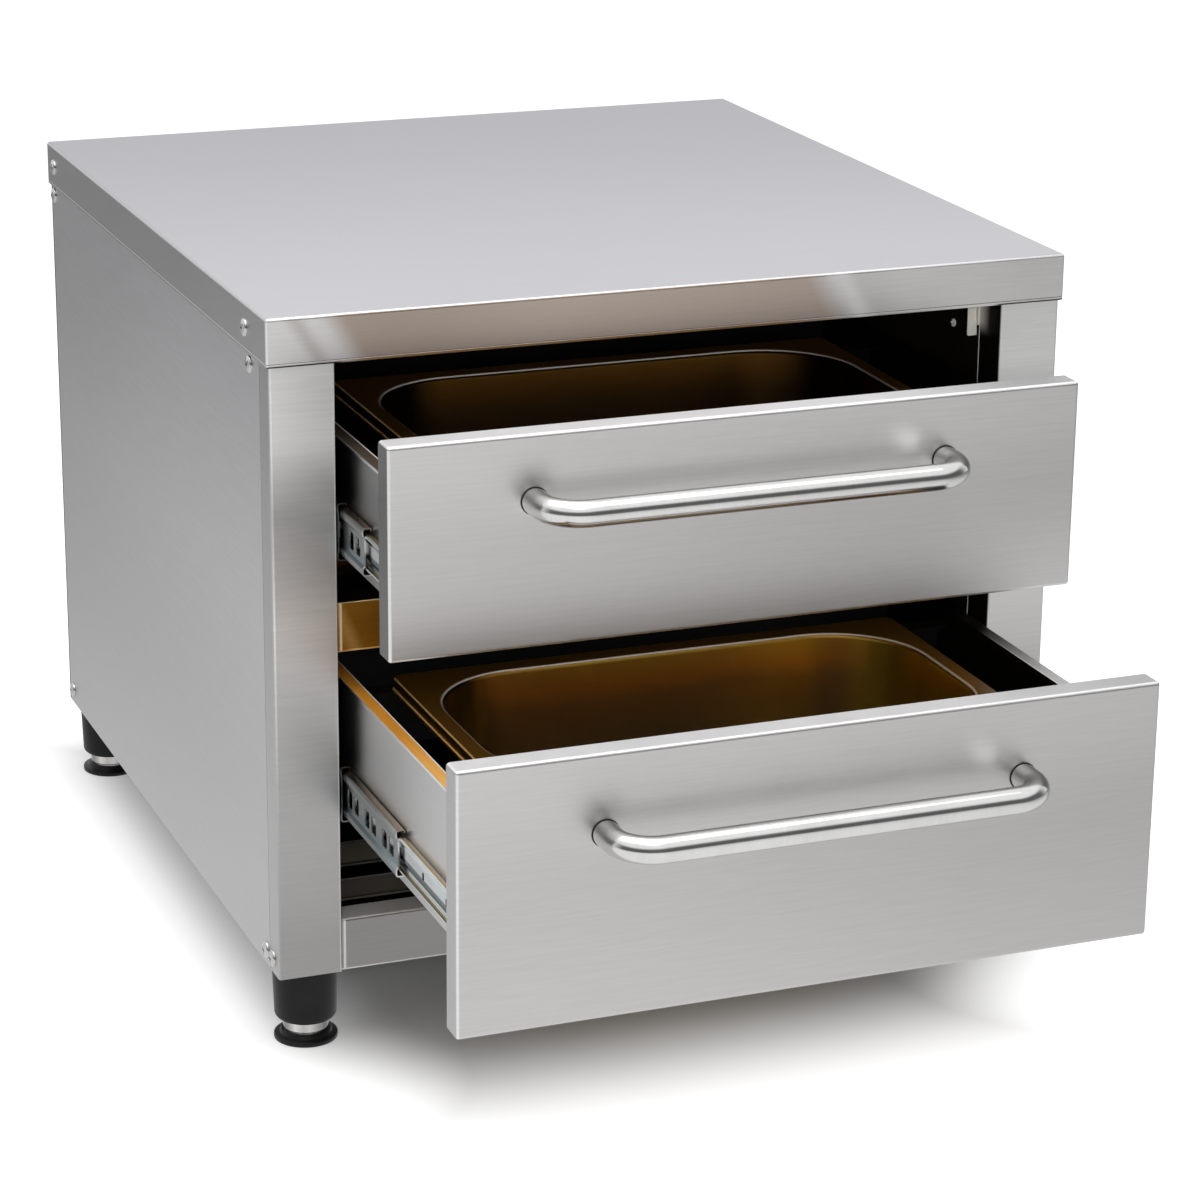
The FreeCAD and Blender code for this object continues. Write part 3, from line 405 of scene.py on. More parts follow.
def make_wall_steel(name, tone, flange_light_tints, shade_from, low, high):
    """A drawer wall with painted light: an outside tone painted for how it is lit, a top flange tinted with
    painted light, an inside painted near-black as shade, and painted highlights on the fold and the cut
    edge.

    The flange has its second tint at the front and is painted near-black as shade behind the depth where its
    shade starts."""
    material, place = new_finish(name)
    x, y = place.part("X"), place.part("Y")
    up = place.facing("Z")
    outside = (place.facing("X") * x.sign()).between(0.3, 0.8)
    flange = up.between(0.75, 0.97)
    fold = up.band(0.2, 0.8, 0.1) * outside.between(0.05, 0.3)
    highlit = fold.larger((0 - place.facing("Y")).between(0.6, 0.9))
    unshaded = (shade_from - y).between(0.0, SHADE_FADE)
    flange_light_tint = (0 - y).between(*FLANGE_CHANGE).mixed(*flange_light_tints)
    # The outside tone, the flange tints and the near-black inside are painted light and shade.
    colour = flange.mixed(outside.mixed(SHADE_BLACK, grey(tone)), unshaded.mixed(SHADE_BLACK, flange_light_tint))
    from_edge = (x - (low.x + high.x) / 2).size() - (high.x - low.x) / 2
    # A painted highlight along the flange's outer edge.
    glint = flange * unshaded * from_edge.between(*FLANGE_GLINT)
    colour = glint.mixed(colour, (0.95, 0.92, 0.88))
    # Painted highlights on the fold and the cut front edge.
    colour = highlit.mixed(colour, (0.85, 0.845, 0.84))
    shine = outside.larger(highlit) * (1 - flange * 0.75)
    return brushed_coat(material, place, colour, 0.34, WALL_GRAIN, 0.12, shine)


def mill_steel(name, tint, roughness):
    """Plain rolled sheet as it comes from the mill, with a soft cloudy surface."""
    material, place = new_finish(name)
    cloud = place.cloud(9.0, 4.0)
    speck = place.cloud(420.0)
    colour = (cloud * 0.7 + speck * 0.3).tinted([(0.3, shade(tint, 0.86)), (0.7, shade(tint, 1.1))])
    gloss = (cloud * 0.6 + speck * 0.4).spread(roughness - 0.08, roughness + 0.1)
    return coat(material, place, colour, gloss, (speck, 0.05, 0.2 * MM))


def make_pale_steel(name):
    """Galvanised brackets with a chalky, pale surface."""
    material, place = new_finish(name)
    cloud = place.cloud(60.0, 3.0)
    colour = cloud.tinted([(0.3, (0.93, 0.89, 0.80)), (0.7, (0.99, 0.96, 0.90))])
    return coat(material, place, colour, cloud.spread(0.5, 0.7), (cloud, 0.05, 0.2 * MM), 0.0)


RAIL_END = (332.2 * MM, 334.6 * MM, 0.3 * MM)
RAIL_EDGE = 1.6 * MM
RAIL_SHEEN = (-0.157, -0.146, 0.007)
RAIL_SLANT = 0.42


def rail_edge_highlights(place, low, high):
    """1 along the edges of a rail's face, where highlights are painted."""
    z = place.part("Z")
    top = z.between(high.z - RAIL_EDGE, high.z - RAIL_EDGE / 2)
    bottom = 1 - z.between(low.z + RAIL_EDGE / 2, low.z + RAIL_EDGE)
    return top.larger(bottom).larger(place.part("X").size().band(*RAIL_END))


def make_warm_rail_steel(name, low, high):
    """A rail painted straw and bronze as reflected warm light, with a painted diagonal sheen at each end, a
    top painted near-black as shade and painted highlights along its edges.
    """
    material, place = new_finish(name)
    painted_sheen = (place.part("Z") * RAIL_SLANT - place.part("X").size()).band(*RAIL_SHEEN)
    patch = place.noise((7.0, 7.0, 11.0))
    warm_reflection_straw = patch.tinted([(0.3, (0.56, 0.25, 0.02)), (0.7, (0.66, 0.33, 0.05))])
    colour = painted_sheen.mixed(warm_reflection_straw, (0.98, 0.60, 0.18))
    # The top, under the drawer, is painted near-black as shade.
    shaded_top = place.facing("Z").between(0.6, 0.95)
    edges = rail_edge_highlights(place, low, high) * (1 - shaded_top)
    colour = edges.mixed(shaded_top.mixed(colour, SHADE_BLACK), (0.95, 0.82, 0.55))
    return brushed_coat(material, place, colour, 0.33, shine=1 - shaded_top.larger(edges * 0.7))


def make_rail_steel(name, low, high):
    """The bottom rail: dull brushed sheet with painted highlights along its edges."""
    material, place = new_finish(name)
    edges = rail_edge_highlights(place, low, high)
    colour = edges.mixed((0.31, 0.30, 0.295), (0.92, 0.91, 0.90))
    return brushed_coat(material, place, colour, 0.36, shine=1 - edges * 0.7)


TRAY_DIM_LIGHT_BAND = (-0.249, -0.207, 0.004)
TRAY_BRIGHT_LIGHT_BAND = (-0.163, -0.113, 0.003)
TRAY_FOLDS = (-0.254, -0.205, -0.169, -0.110)
TRAY_FOLD_HALF = 0.0025
TRAY_FOLD_SOFT = 0.001


def make_tray_steel(name):
    """The floor tray: dull outside, and inside painted near-black as shade, with painted bands of light
    along its depth and painted highlights along its folds.
    """
    material, place = new_finish(name)
    cloud = place.cloud(9.0, 3.0)
    depth = place.part("Y") + cloud * 0.006
    # Painted bands of light, and painted highlights along the folds.
    light_bands = [(TRAY_DIM_LIGHT_BAND, (0.60, 0.55, 0.49)), (TRAY_BRIGHT_LIGHT_BAND, (0.97, 0.90, 0.74))]
    for fold in TRAY_FOLDS:
        light_bands.append(((fold - TRAY_FOLD_HALF, fold + TRAY_FOLD_HALF, TRAY_FOLD_SOFT), (0.95, 0.90, 0.80)))
    inside = shade(SHADE_BLACK, 2.0)
    for limits, tint in light_bands:
        inside = depth.band(*limits).mixed(inside, tint)
    colour = place.facing("Z").between(0.5, 0.9).mixed((0.26, 0.255, 0.25), inside)
    return coat(material, place, colour, cloud.spread(0.36, 0.52), (cloud, 0.05, 0.3 * MM), 0.3)


def make_shelf_steel(name):
    """The divider shelf: painted near-black as shade in clouds, with an amber patch along its front edge."""
    material, place = new_finish(name)
    cloud = place.cloud(14.0, 3.0)
    near_front = (0 - place.part("Y") + cloud * 0.06).between(0.24, 0.40)
    amber = near_front * place.facing("Z").between(0.5, 0.9)
    colour = (amber * cloud.between(0.35, 0.6)).mixed(painted_shade_clouds(cloud), (0.60, 0.27, 0.03))
    return coat(material, place, colour, cloud.spread(0.34, 0.55), (cloud, 0.04, 0.3 * MM), amber, 0.25)


PAN_LIP = 14 * MM
LIP_BEAD_HIGHLIGHT = (10.5 * MM, PAN_LIP, 0.4 * MM)
MOUTH_HIGHLIGHT = (0.3 * MM, 1.4 * MM, 0.25 * MM)
PAN_SHADE_DEPTH = 0.085


def make_pan_steel(name, tone, end_light, low, high):
    """Drawn steel with a dark rim, painted highlights on the mouth and lip edges, and walls painted amber as
    reflected warm light with painted shade darker downwards.

    The left-hand end is painted dark as shade and the right-hand end's inside in a given light colour. Tone
    sets how lit the walls are painted."""
    material, place = new_finish(name)
    side, up = place.facing("X"), place.facing("Z")
    drop = high.z - place.part("Z")
    middle = (low + high) / 2
    half = (high - low) / 2
    from_middle = place.part("X") - middle.x
    from_x = from_middle.size() - half.x
    from_y = (place.part("Y") - middle.y).size() - half.y
    outer = from_x.larger(from_y).between(-5 * MM, -3.5 * MM)
    patch = place.noise((5.0, 5.0, 7.0))
    drawn = place.cloud(40.0)
    # Painted shade darker downwards, over random patches.
    downward_shade_and_patches = drop.between(0.0, PAN_SHADE_DEPTH) * 0.75 + patch * 0.35
    # Painted warm reflection, amber near the top.
    warm_reflection_browns = [(0.12, (0.52, 0.26, 0.05)), (0.5, (0.24, 0.15, 0.06)), (0.95, (0.13, 0.10, 0.06))]
    wall = downward_shade_and_patches.tinted(warm_reflection_browns).times(grey(tone))
    # The left end wall is painted dark as shade, the right end inside in its own painted light.
    wall = side.between(0.05, 0.5).mixed(wall, (0.08, 0.06, 0.025))
    wall = ((0 - side).between(0.3, 0.9) * from_middle.between(0.0, 50 * MM)).mixed(wall, end_light)
    level_face = up.between(0.9, 0.985)
    rim_face = level_face * (1 - drop.between(1 * MM, 3 * MM))
    turned_up = up.between(0.05, 0.2) * (1 - level_face)
    mouth = turned_up * drop.band(*MOUTH_HIGHLIGHT)
    bead = turned_up.larger((0 - up).between(0.05, 0.2)) * drop.band(*LIP_BEAD_HIGHLIGHT) * outer
    # Painted highlights: pale along the mouth's front and rear, dimmer at its ends, amber on the lip bead.
    mouth_highlight = side.size().between(0.1, 0.6).mixed((0.97, 0.96, 0.94), (0.40, 0.37, 0.33))
    colour = rim_face.mixed(wall, (0.16, 0.075, 0.012))
    colour = mouth.mixed(colour, outer.mixed(mouth_highlight, AMBER_EDGE_HIGHLIGHT))
    colour = bead.mixed(colour, AMBER_EDGE_HIGHLIGHT)
    gloss = (patch * 0.5 + drawn * 0.5).spread(0.24, 0.36) - mouth * 0.12
    # The rim and the highlights are less metallic, so that they show lighter.
    shine = 1 - rim_face * 0.6 - mouth.larger(bead) * 0.85
    return coat(material, place, colour, gloss, (drawn, 0.01, 0.2 * MM), shine)


LOW_WEB_SHADE = (0.16, 0.42, 0.02)


def make_zinc(name, tone, glow, lower_shade):
    """Zinc on slide members: faint spangle, painted warm light on the tops, painted highlights on the cut
    ends and painted shade low on the web. Tone is painted for how lit the member is.
    """
    material, place = new_finish(name)
    share = place.node("ShaderNodeTexCoord", output="Generated")
    spangle = place.noise((160.0, 40.0, 160.0), 3.0)
    streak = place.noise((900.0, 5.0, 900.0))
    cool = (tone * 0.8, tone * 0.92, tone * 0.95)
    zinc = spangle.tinted([(0.3, cool), (0.7, (tone, tone, tone * 0.97))])
    # Painted shade low on the web.
    low_web_shade = share.part("Z").band(*LOW_WEB_SHADE)
    zinc = low_web_shade.mixed(zinc, (lower_shade * 0.8, lower_shade, lower_shade * 1.05))
    # Painted warm light on the tops, in the glow colour.
    warm_lit_top = place.facing("Z").between(0.8, 0.97)
    # Painted highlights on the cut ends.
    cut = (0 - place.facing("Y")).between(0.7, 0.95)
    colour = cut.mixed(warm_lit_top.mixed(zinc, glow), grey(min(tone * 3, 0.95)))
    gloss = (spangle * 0.5 + streak * 0.5).spread(0.22, 0.36)
    return coat(material, place, colour, gloss, (streak, 0.06, 0.2 * MM))


def satin_bar(name):
    """Ground and polished round bar, with a fine grain round it."""
    material, place = new_finish(name)
    rings = place.noise((1400.0, 30.0, 30.0))
    haze = place.cloud(30.0)
    colour = (rings * 0.4 + haze * 0.6).tinted([(0.3, (0.70, 0.695, 0.69)), (0.7, (0.80, 0.795, 0.79))])
    gloss = (rings * 0.5 + haze * 0.5).spread(0.13, 0.21)
    return coat(material, place, colour, gloss, (rings, 0.03, 0.1 * MM))


def bright_metal(name, tint, roughness):
    """Plated turned metal, with lathe rings and small dull spots."""
    material, place = new_finish(name)
    rings = place.noise((60.0, 60.0, 1600.0))
    spots = place.cloud(260.0, 3.0)
    colour = (rings * 0.5 + spots * 0.5).tinted([(0.3, shade(tint, 0.72)), (0.7, shade(tint, 1.1))])
    gloss = spots.spread(roughness - 0.06, roughness + 0.12)
    return coat(material, place, colour, gloss, (rings, 0.12, 0.2 * MM))


SLEEVE_REFLECTION_BANDS = ((0.0, 0.20), (0.15, 0.72), (0.30, 0.50), (0.45, 0.60))
SLEEVE_REFLECTION_BANDS += ((0.62, 0.36), (0.8, 0.18), (1.0, 0.08))


def sleeve_chrome(name):
    """Bright plating on the turned foot sleeves, with upright bands of painted reflection, light and dark,
    set by which way the surface faces.
    """
    material, place = new_finish(name)
    stops = [(stop, (tone, tone * 0.98, tone * 0.95)) for stop, tone in SLEEVE_REFLECTION_BANDS]
    colour = (place.facing("X") * 0.5 + 0.5).tinted(stops)
    spots = place.cloud(260.0, 3.0)
    return coat(material, place, colour, spots.spread(0.12, 0.26), (spots, 0.05, 0.2 * MM))


def moulded_black(name, colour, roughness, texture):
    """Moulded plastic or rubber with a fine skin texture and a little dust."""
    material, place = new_finish(name)
    skin = place.cloud(texture)
    dust = place.cloud(35.0, 4.0)
    tone = (skin * 0.3 + dust * 0.7).tinted([(0.35, colour), (0.8, shade(colour, 2.2))])
    gloss = (skin * 0.4 + dust * 0.6).spread(roughness - 0.1, roughness + 0.14)
    return coat(material, place, tone, gloss, (skin, 0.15, 0.15 * MM), 0.0, 0.2)


def fired_ceramic(name):
    """Unglazed ceramic with a chalky, slightly speckled face."""
    material, place = new_finish(name)
    speck = place.cloud(500.0, 3.0)
    colour = speck.tinted([(0.3, (0.62, 0.58, 0.52)), (0.7, (0.80, 0.77, 0.72))])
    return coat(material, place, colour, speck.spread(0.6, 0.85), (speck, 0.2, 0.3 * MM), 0.0)


cap_steel = make_cap_steel("brushed_cap_steel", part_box("top_panel")[0])
front_steels = {}
# Each front gets a tint painted for how lit it is, painted shade on its returns and painted light at its
# foot.
for level, tint, return_shade, foot_light in (
    ("upper", shade(FRONT_STEEL, 1.02), 0.20, 0.14),
    ("lower", shade(STEEL, 1.05), 0.54, 0.04),
):
    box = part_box(f"{level}_drawer_front")
    front_steels[level] = make_front_steel(f"{level}_front_steel", tint, return_shade, foot_light, *box)
side_steel = make_side_steel("brushed_side_steel")
post_steel = make_post_steel("brushed_post_steel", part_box("front_right_post")[0].x)
rail_steel = make_rail_steel("brushed_rail_steel", *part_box("bottom_rail"))
warm_rail_steel = make_warm_rail_steel("warm_painted_rail", *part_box("middle_rail"))
tray_steel = make_tray_steel("light_banded_floor_tray")
# The inner walls, and the drawers' pan rails and back walls, are painted near-black as shade.
cavity_steel = make_cavity_steel("shade_black_cavity_steel", 0.9)
shade_black_steel = make_cavity_steel("shade_black_steel", 0.008)
shelf_steel = make_shelf_steel("shade_black_shelf")
bracket_steel = make_pale_steel("pale_bracket_steel")
plate_steel = brushed_steel("inner_plate_steel", (0.80, 0.79, 0.785), 0.55)
back_steel = make_back_steel("back_mill_steel")
wall_steels = {}
# Each wall's outside tone and flange tints are painted for how light falls on it: gold as reflected warm
# light on the lower left, dark as shade on the upper walls.
for level, side_name, tone, flange_light_tints, shade_from in (
    ("upper", "left", 0.34, [(0.10, 0.075, 0.055), (0.16, 0.14, 0.12)], -0.2),
    ("upper", "right", 0.34, [(0.13, 0.12, 0.11), (0.16, 0.15, 0.14)], -0.42),
    ("lower", "left", 0.66, [GOLD_REFLECTION, PALE_GOLD_REFLECTION], -0.26),
    ("lower", "right", 0.62, [(0.64, 0.635, 0.63), (0.70, 0.695, 0.69)], -0.45),
):
    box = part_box(f"{level}_drawer_{side_name}_wall")
    finish = make_wall_steel(f"{level}_{side_name}_wall_steel", tone, flange_light_tints, shade_from, *box)
    wall_steels[level, side_name] = finish
# The lower pan is painted brighter, with its right-hand end gold as warm light; the upper pan darker as
# shade.
pan_steels = {
    "upper": make_pan_steel("upper_pan_steel", 1.15, (0.063, 0.035, 0.014), *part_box("upper_pan")),
    "lower": make_pan_steel("lower_pan_steel", 2.6, (0.92, 0.66, 0.09), *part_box("lower_pan")),
}
# The outer members are painted dark as shade, the inner ones lighter as light.
slide_zinc = {
    "outer": make_zinc("shaded_zinc_slide", 0.05, (0.05, 0.045, 0.04), 0.05),
    "middle": make_zinc("zinc_slide", 0.40, (0.62, 0.50, 0.36), 0.34),
    "inner": make_zinc("lit_zinc_slide", 0.72, (0.66, 0.50, 0.30), 0.16),
}
handle_steel = satin_bar("satin_handle")
bolt_steel = bright_metal("bright_bolt", (0.62, 0.61, 0.60), 0.2)
chrome = sleeve_chrome("bright_foot_sleeve")
heater_steel = mill_steel("heater_sheath", (0.30, 0.27, 0.24), 0.5)
leg_black = moulded_black("black_leg_plastic", (0.010, 0.010, 0.011), 0.42, 900.0)
pad_black = moulded_black("black_foot_pad", (0.008, 0.008, 0.008), 0.36, 700.0)
part_black = moulded_black("black_electrical_plastic", (0.016, 0.016, 0.017), 0.5, 800.0)
ceramic = fired_ceramic("fired_ceramic")

# Tools for making pieces

CREASE = 32
CORNER_STEPS = 12
MITRE_LIMIT = 0.3


def smoothed(mesh, crease):
    """Shades a mesh smooth, and leaves folds sharper than the crease angle sharp."""
    mesh.shade_smooth()
    mesh.set_sharp_from_angle(angle=math.radians(crease))


def piece_from(name, bm, crease=CREASE):
    """Turns built faces into a smooth-shaded piece."""
    bmesh.ops.recalc_face_normals(bm, faces=bm.faces)
    mesh = bpy.data.meshes.new(name)
    bm.to_mesh(mesh)
    bm.free()
    smoothed(mesh, crease)
    piece = bpy.data.objects.new(name, mesh)
    bpy.context.scene.collection.objects.link(piece)
    return piece


def discard(piece):
    """Takes away a piece and its mesh."""
    mesh = piece.data
    bpy.data.objects.remove(piece)
    bpy.data.meshes.remove(mesh)


def worked(piece, kind, **settings):
    """Applies one modifier to a piece's mesh."""
    step = piece.modifiers.new(kind.title(), kind)
    for name, value in settings.items():
        setattr(step, name, value)
    graph = bpy.context.evaluated_depsgraph_get()
    result = bpy.data.meshes.new_from_object(piece.evaluated_get(graph))
    piece.modifiers.clear()
    former = piece.data
    piece.data = result
    bpy.data.meshes.remove(former)
    result.name = piece.name
    return piece


def evened(piece):
    """Weights a piece's normals by face area, so that flats look flat beside their rounds."""
    return worked(piece, "WEIGHTED_NORMAL", keep_sharp=True, weight=100)


def thickened(piece, gauge, crease, **settings):
    """Gives a skin the thickness of its sheet, inwards."""
    worked(piece, "SOLIDIFY", thickness=gauge, offset=-1.0, **settings)
    smoothed(piece.data, crease)
    return evened(piece)


def seat(piece, body, slot, finish, *replaced):
    """Gives a piece its finish, the body that carries it and the nodes that it stands for."""
    piece.data.materials.clear()
    piece.data.materials.append(finish)
    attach(piece, body)
    if replaced:
        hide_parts(*replaced)


def dress(finish, *names):
    """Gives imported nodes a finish."""
    for name in names:
        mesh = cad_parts[name].data
        mesh.materials.clear()
        mesh.materials.append(finish)


def with_rounds(corners, closed=False, steps=6):
    """An outline through (x, y, radius) corners, where each radius rounds its corner."""
    outline = []
    count = len(corners)
    for index, (x, y, radius) in enumerate(corners):
        here = Vector((x, y))
        at_end = not closed and index in (0, count - 1)
        if radius == 0 or at_end:
            outline.append(here)
            continue
        to_before = (Vector(corners[index - 1][:2]) - here).normalized()
        to_after = (Vector(corners[(index + 1) % count][:2]) - here).normalized()
        half_angle = to_before.angle(to_after) / 2
        reach = radius / math.tan(half_angle)
        centre = here + (to_before + to_after).normalized() * radius / math.sin(half_angle)
        first_arm = here + to_before * reach - centre
        last_arm = here + to_after * reach - centre
        start = math.atan2(first_arm.y, first_arm.x)
        sweep = math.remainder(math.atan2(last_arm.y, last_arm.x) - start, math.tau)
        for step in range(steps + 1):
            angle = start + sweep * step / steps
            outline.append(centre + Vector((math.cos(angle), math.sin(angle))) * radius)
    return outline


def rectangle(left, right, bottom, top, corner):
    """The four corners of a rectangle, each with the same round."""
    return [(left, bottom, corner), (right, bottom, corner), (right, top, corner), (left, top, corner)]


def rounded_row(low, high, inset_x, inset_y, corner, height):
    """A level rounded rectangle inside a box."""
    corners = rectangle(low.x + inset_x, high.x - inset_x, low.y + inset_y, high.y - inset_y, corner)
    return [Vector((x, y, height)) for x, y in with_rounds(corners, True, CORNER_STEPS)]


def strip(path, gauge):
    """The closed outline of a strip of sheet that follows a path in its middle."""
    runs = [(after - before).normalized() for before, after in zip(path, path[1:])]
    left, right = [], []
    for index, point in enumerate(path):
        before = runs[max(index - 1, 0)]
        after = runs[min(index, len(runs) - 1)]
        along = (before + after).normalized()
        half = gauge / 2 / max(along.dot(after), MITRE_LIMIT)
        across = Vector((-along.y, along.x)) * half
        left.append(point + across)
        right.append(point - across)
    return left + right[::-1]


def lofted(name, rows, caps=(0, -1), crease=CREASE):
    """A piece through closed rows of points, with faces over the rows named as caps."""
    bm = bmesh.new()
    loops = [[bm.verts.new(point) for point in row] for row in rows]
    for first, second in zip(loops, loops[1:]):
        for corners in zip(first, first[1:] + first[:1], second[1:] + second[:1], second):
            bm.faces.new(corners)
    for end in caps:
        bm.faces.new(loops[end])
    return piece_from(name, bm, crease)


def ring(centre, radius, axis, sides):
    """Points of a circle round a point, square to an axis."""
    turn = axis.to_track_quat("Z", "Y")
    points = []
    for index in range(sides):
        angle = math.tau * index / sides
        points.append(centre + turn @ Vector((math.cos(angle) * radius, math.sin(angle) * radius, 0)))
    return points


def turned(name, outline, centre, axis=Z_AXIS, sides=72):
    """A turned piece from (radius, height) points along an axis."""
    return lofted(name, [ring(centre + axis * height, radius, axis, sides) for radius, height in outline])


def joined(name, pieces):
    """Several pieces as one, in one mesh."""
    bm = bmesh.new()
    for piece in pieces:
        bm.from_mesh(piece.data)
        discard(piece)
    return piece_from(name, bm)


def island_boxes(node):
    """The lowest and highest corners of each separate solid in a node."""
    bm = bmesh.new()
    bm.from_mesh(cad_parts[node].data)
    bmesh.ops.remove_doubles(bm, verts=bm.verts, dist=0.01 * MM)
    unseen = set(bm.verts)
    boxes = []
    while unseen:
        waiting = [unseen.pop()]
        points = []
        while waiting:
            vert = waiting.pop()
            points.append(vert.co.copy())
            near = [edge.other_vert(vert) for edge in vert.link_edges]
            fresh = [other for other in near if other in unseen]
            unseen.difference_update(fresh)
            waiting += fresh
        low = Vector([min(point[k] for point in points) for k in range(3)])
        high = Vector([max(point[k] for point in points) for k in range(3)])
        boxes.append((low, high))
    bm.free()
    return sorted(boxes, key=lambda box: tuple(box[0]))


# Folded sheet: the cap and the drawer fronts

FRAME_GAUGE = 1.5 * MM
CAP_REACH = 20 * MM
CAP_BEND = 3.2 * MM
CAP_INNER_BEND = 1 * MM
CAP_CORNER = 2.4 * MM
CAP_CORNER_LEAST = 0.3 * MM
CAP_HEM = 3.3 * MM
CAP_HEM_DEPTH = 2.5 * MM
CAP_HEM_ROUND = 0.9 * MM
CAP_HEM_CHAMFER = 0.5 * MM
CAP_HEM_SLOPE = 1 * MM
CAP_HEM_GROOVE = 0.45 * MM
CAP_GROOVE_HALF = 0.4 * MM
CAP_CREASE = 30
FRONT_BEND = 3.6 * MM
FRONT_STEPS = 6
FRONT_CREASE = 40


def make_cap():
    """A folded cap: flat top, skirt with a hem along its lower edge, and rounded folds."""
    low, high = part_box("top_panel")
    tall = high.z - low.z
    inside = tall - FRAME_GAUGE
    profile = [(CAP_REACH, inside, 0), (FRAME_GAUGE, inside, CAP_INNER_BEND)]
    profile += [(FRAME_GAUGE, CAP_HEM + CAP_HEM_SLOPE, 0), (CAP_HEM_DEPTH, CAP_HEM, 0)]
    profile += [(CAP_HEM_DEPTH, CAP_HEM_CHAMFER, 0), (CAP_HEM_DEPTH - CAP_HEM_CHAMFER, 0, 0)]
    profile += [(0, 0, CAP_HEM_ROUND), (0, CAP_HEM - CAP_GROOVE_HALF, 0), (CAP_HEM_GROOVE, CAP_HEM, 0)]
    profile += [(0, CAP_HEM + CAP_GROOVE_HALF, 0), (0, tall, CAP_BEND), (CAP_REACH, tall, 0)]
    rows = []
    for inset, rise in with_rounds(profile):
        corner = max(CAP_CORNER - inset, CAP_CORNER_LEAST)
        rows.append(rounded_row(low, high, inset, inset, corner, low.z + rise))
    cap = evened(lofted("top_cap", rows, crease=CAP_CREASE))
    seat(cap, "cabinet", "casing_steel", cap_steel, "top_panel")


def make_front(level):
    """A drawer front: a shallow box of sheet, open at the back, with all its folds rounded."""
    low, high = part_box(f"{level}_drawer_front")
    bm = bmesh.new()
    bmesh.ops.create_cube(bm, size=1.0)
    for vert in bm.verts:
        vert.co = Vector([low[k] if vert.co[k] < 0 else high[k] for k in range(3)])
    bm.normal_update()
    open_side = [face for face in bm.faces if face.normal.dot(Y_AXIS) > 0.9]
    bmesh.ops.delete(bm, geom=open_side, context="FACES")
    folds = [edge for edge in bm.edges if not edge.is_boundary]
    bmesh.ops.bevel(bm, geom=folds, offset=FRONT_BEND, segments=FRONT_STEPS, profile=0.5, affect="EDGES")
    front = piece_from(f"{level}_front_skin", bm, FRONT_CREASE)
    thickened(front, FRAME_GAUGE, FRONT_CREASE, use_even_offset=True)
    seat(front, f"{level}_drawer", "casing_steel", front_steels[level], f"{level}_drawer_front")


# Handles

HANDLE_RADIUS = 12.5 * MM
HANDLE_BEND = 34 * MM
SHADOW_RING = 0.7 * MM
HANDLE_SIDES = 56
BEND_STEPS = 20


def make_handle(level):
    """A bent bar whose two ends stand on the drawer front, with a black ring round each end as painted
    shadow where it meets the front.
    """
    low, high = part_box(f"{level}_handle")
    middle = (low.z + high.z) / 2
    reach = low.y + HANDLE_RADIUS
    left = low.x + HANDLE_RADIUS
    right = high.x - HANDLE_RADIUS
    corners = [(left, high.y, 0), (left, reach, HANDLE_BEND)]
    corners += [(right, reach, HANDLE_BEND), (right, high.y, 0)]
    path = [Vector((x, y, middle)) for x, y in with_rounds(corners, steps=BEND_STEPS)]
    rows = []
    for index, point in enumerate(path):
        along = (path[min(index + 1, len(path) - 1)] - path[max(index - 1, 0)]).normalized()
        across = along.cross(Z_AXIS)
        row = []
        for side in range(HANDLE_SIDES):
            angle = math.tau * side / HANDLE_SIDES
            row.append(point + (across * math.cos(angle) + Z_AXIS * math.sin(angle)) * HANDLE_RADIUS)
        rows.append(row)
    bar = lofted(f"{level}_handle_bar", rows)
    seat(bar, f"{level}_drawer", "handle_steel", handle_steel, f"{level}_handle")
    # Black rings stand for the shadow where the bar meets the front.
    outline = [(HANDLE_RADIUS + SHADOW_RING, 0), (HANDLE_RADIUS + SHADOW_RING, SHADOW_RING)]
    seams = [turned("seam", outline, Vector((x, high.y, middle)), -Y_AXIS) for x in (left, right)]
    seat(joined(f"{level}_handle_seams", seams), f"{level}_drawer", "black_plastic", part_black)


# Pans

PAN_SHEET = 1.2 * MM
PAN_RIM_X = 20 * MM
PAN_RIM_Y = 26 * MM
PAN_RIM_CORNER = 11 * MM
PAN_WELL_CORNER = 92 * MM
PAN_CORNER_TAPER = 0.8
PAN_DRAFT = math.radians(6)
PAN_MOUTH_ROUND = 5 * MM
PAN_FLOOR_ROUND = 16 * MM
PAN_LIP_ROUND = 2.0 * MM
PAN_BEAD = 1.3 * MM
BEAD_ROUND = PAN_BEAD * 0.4
BEAD_STEPS = 4
ARC_STEPS = 6
PAN_CREASE = 50


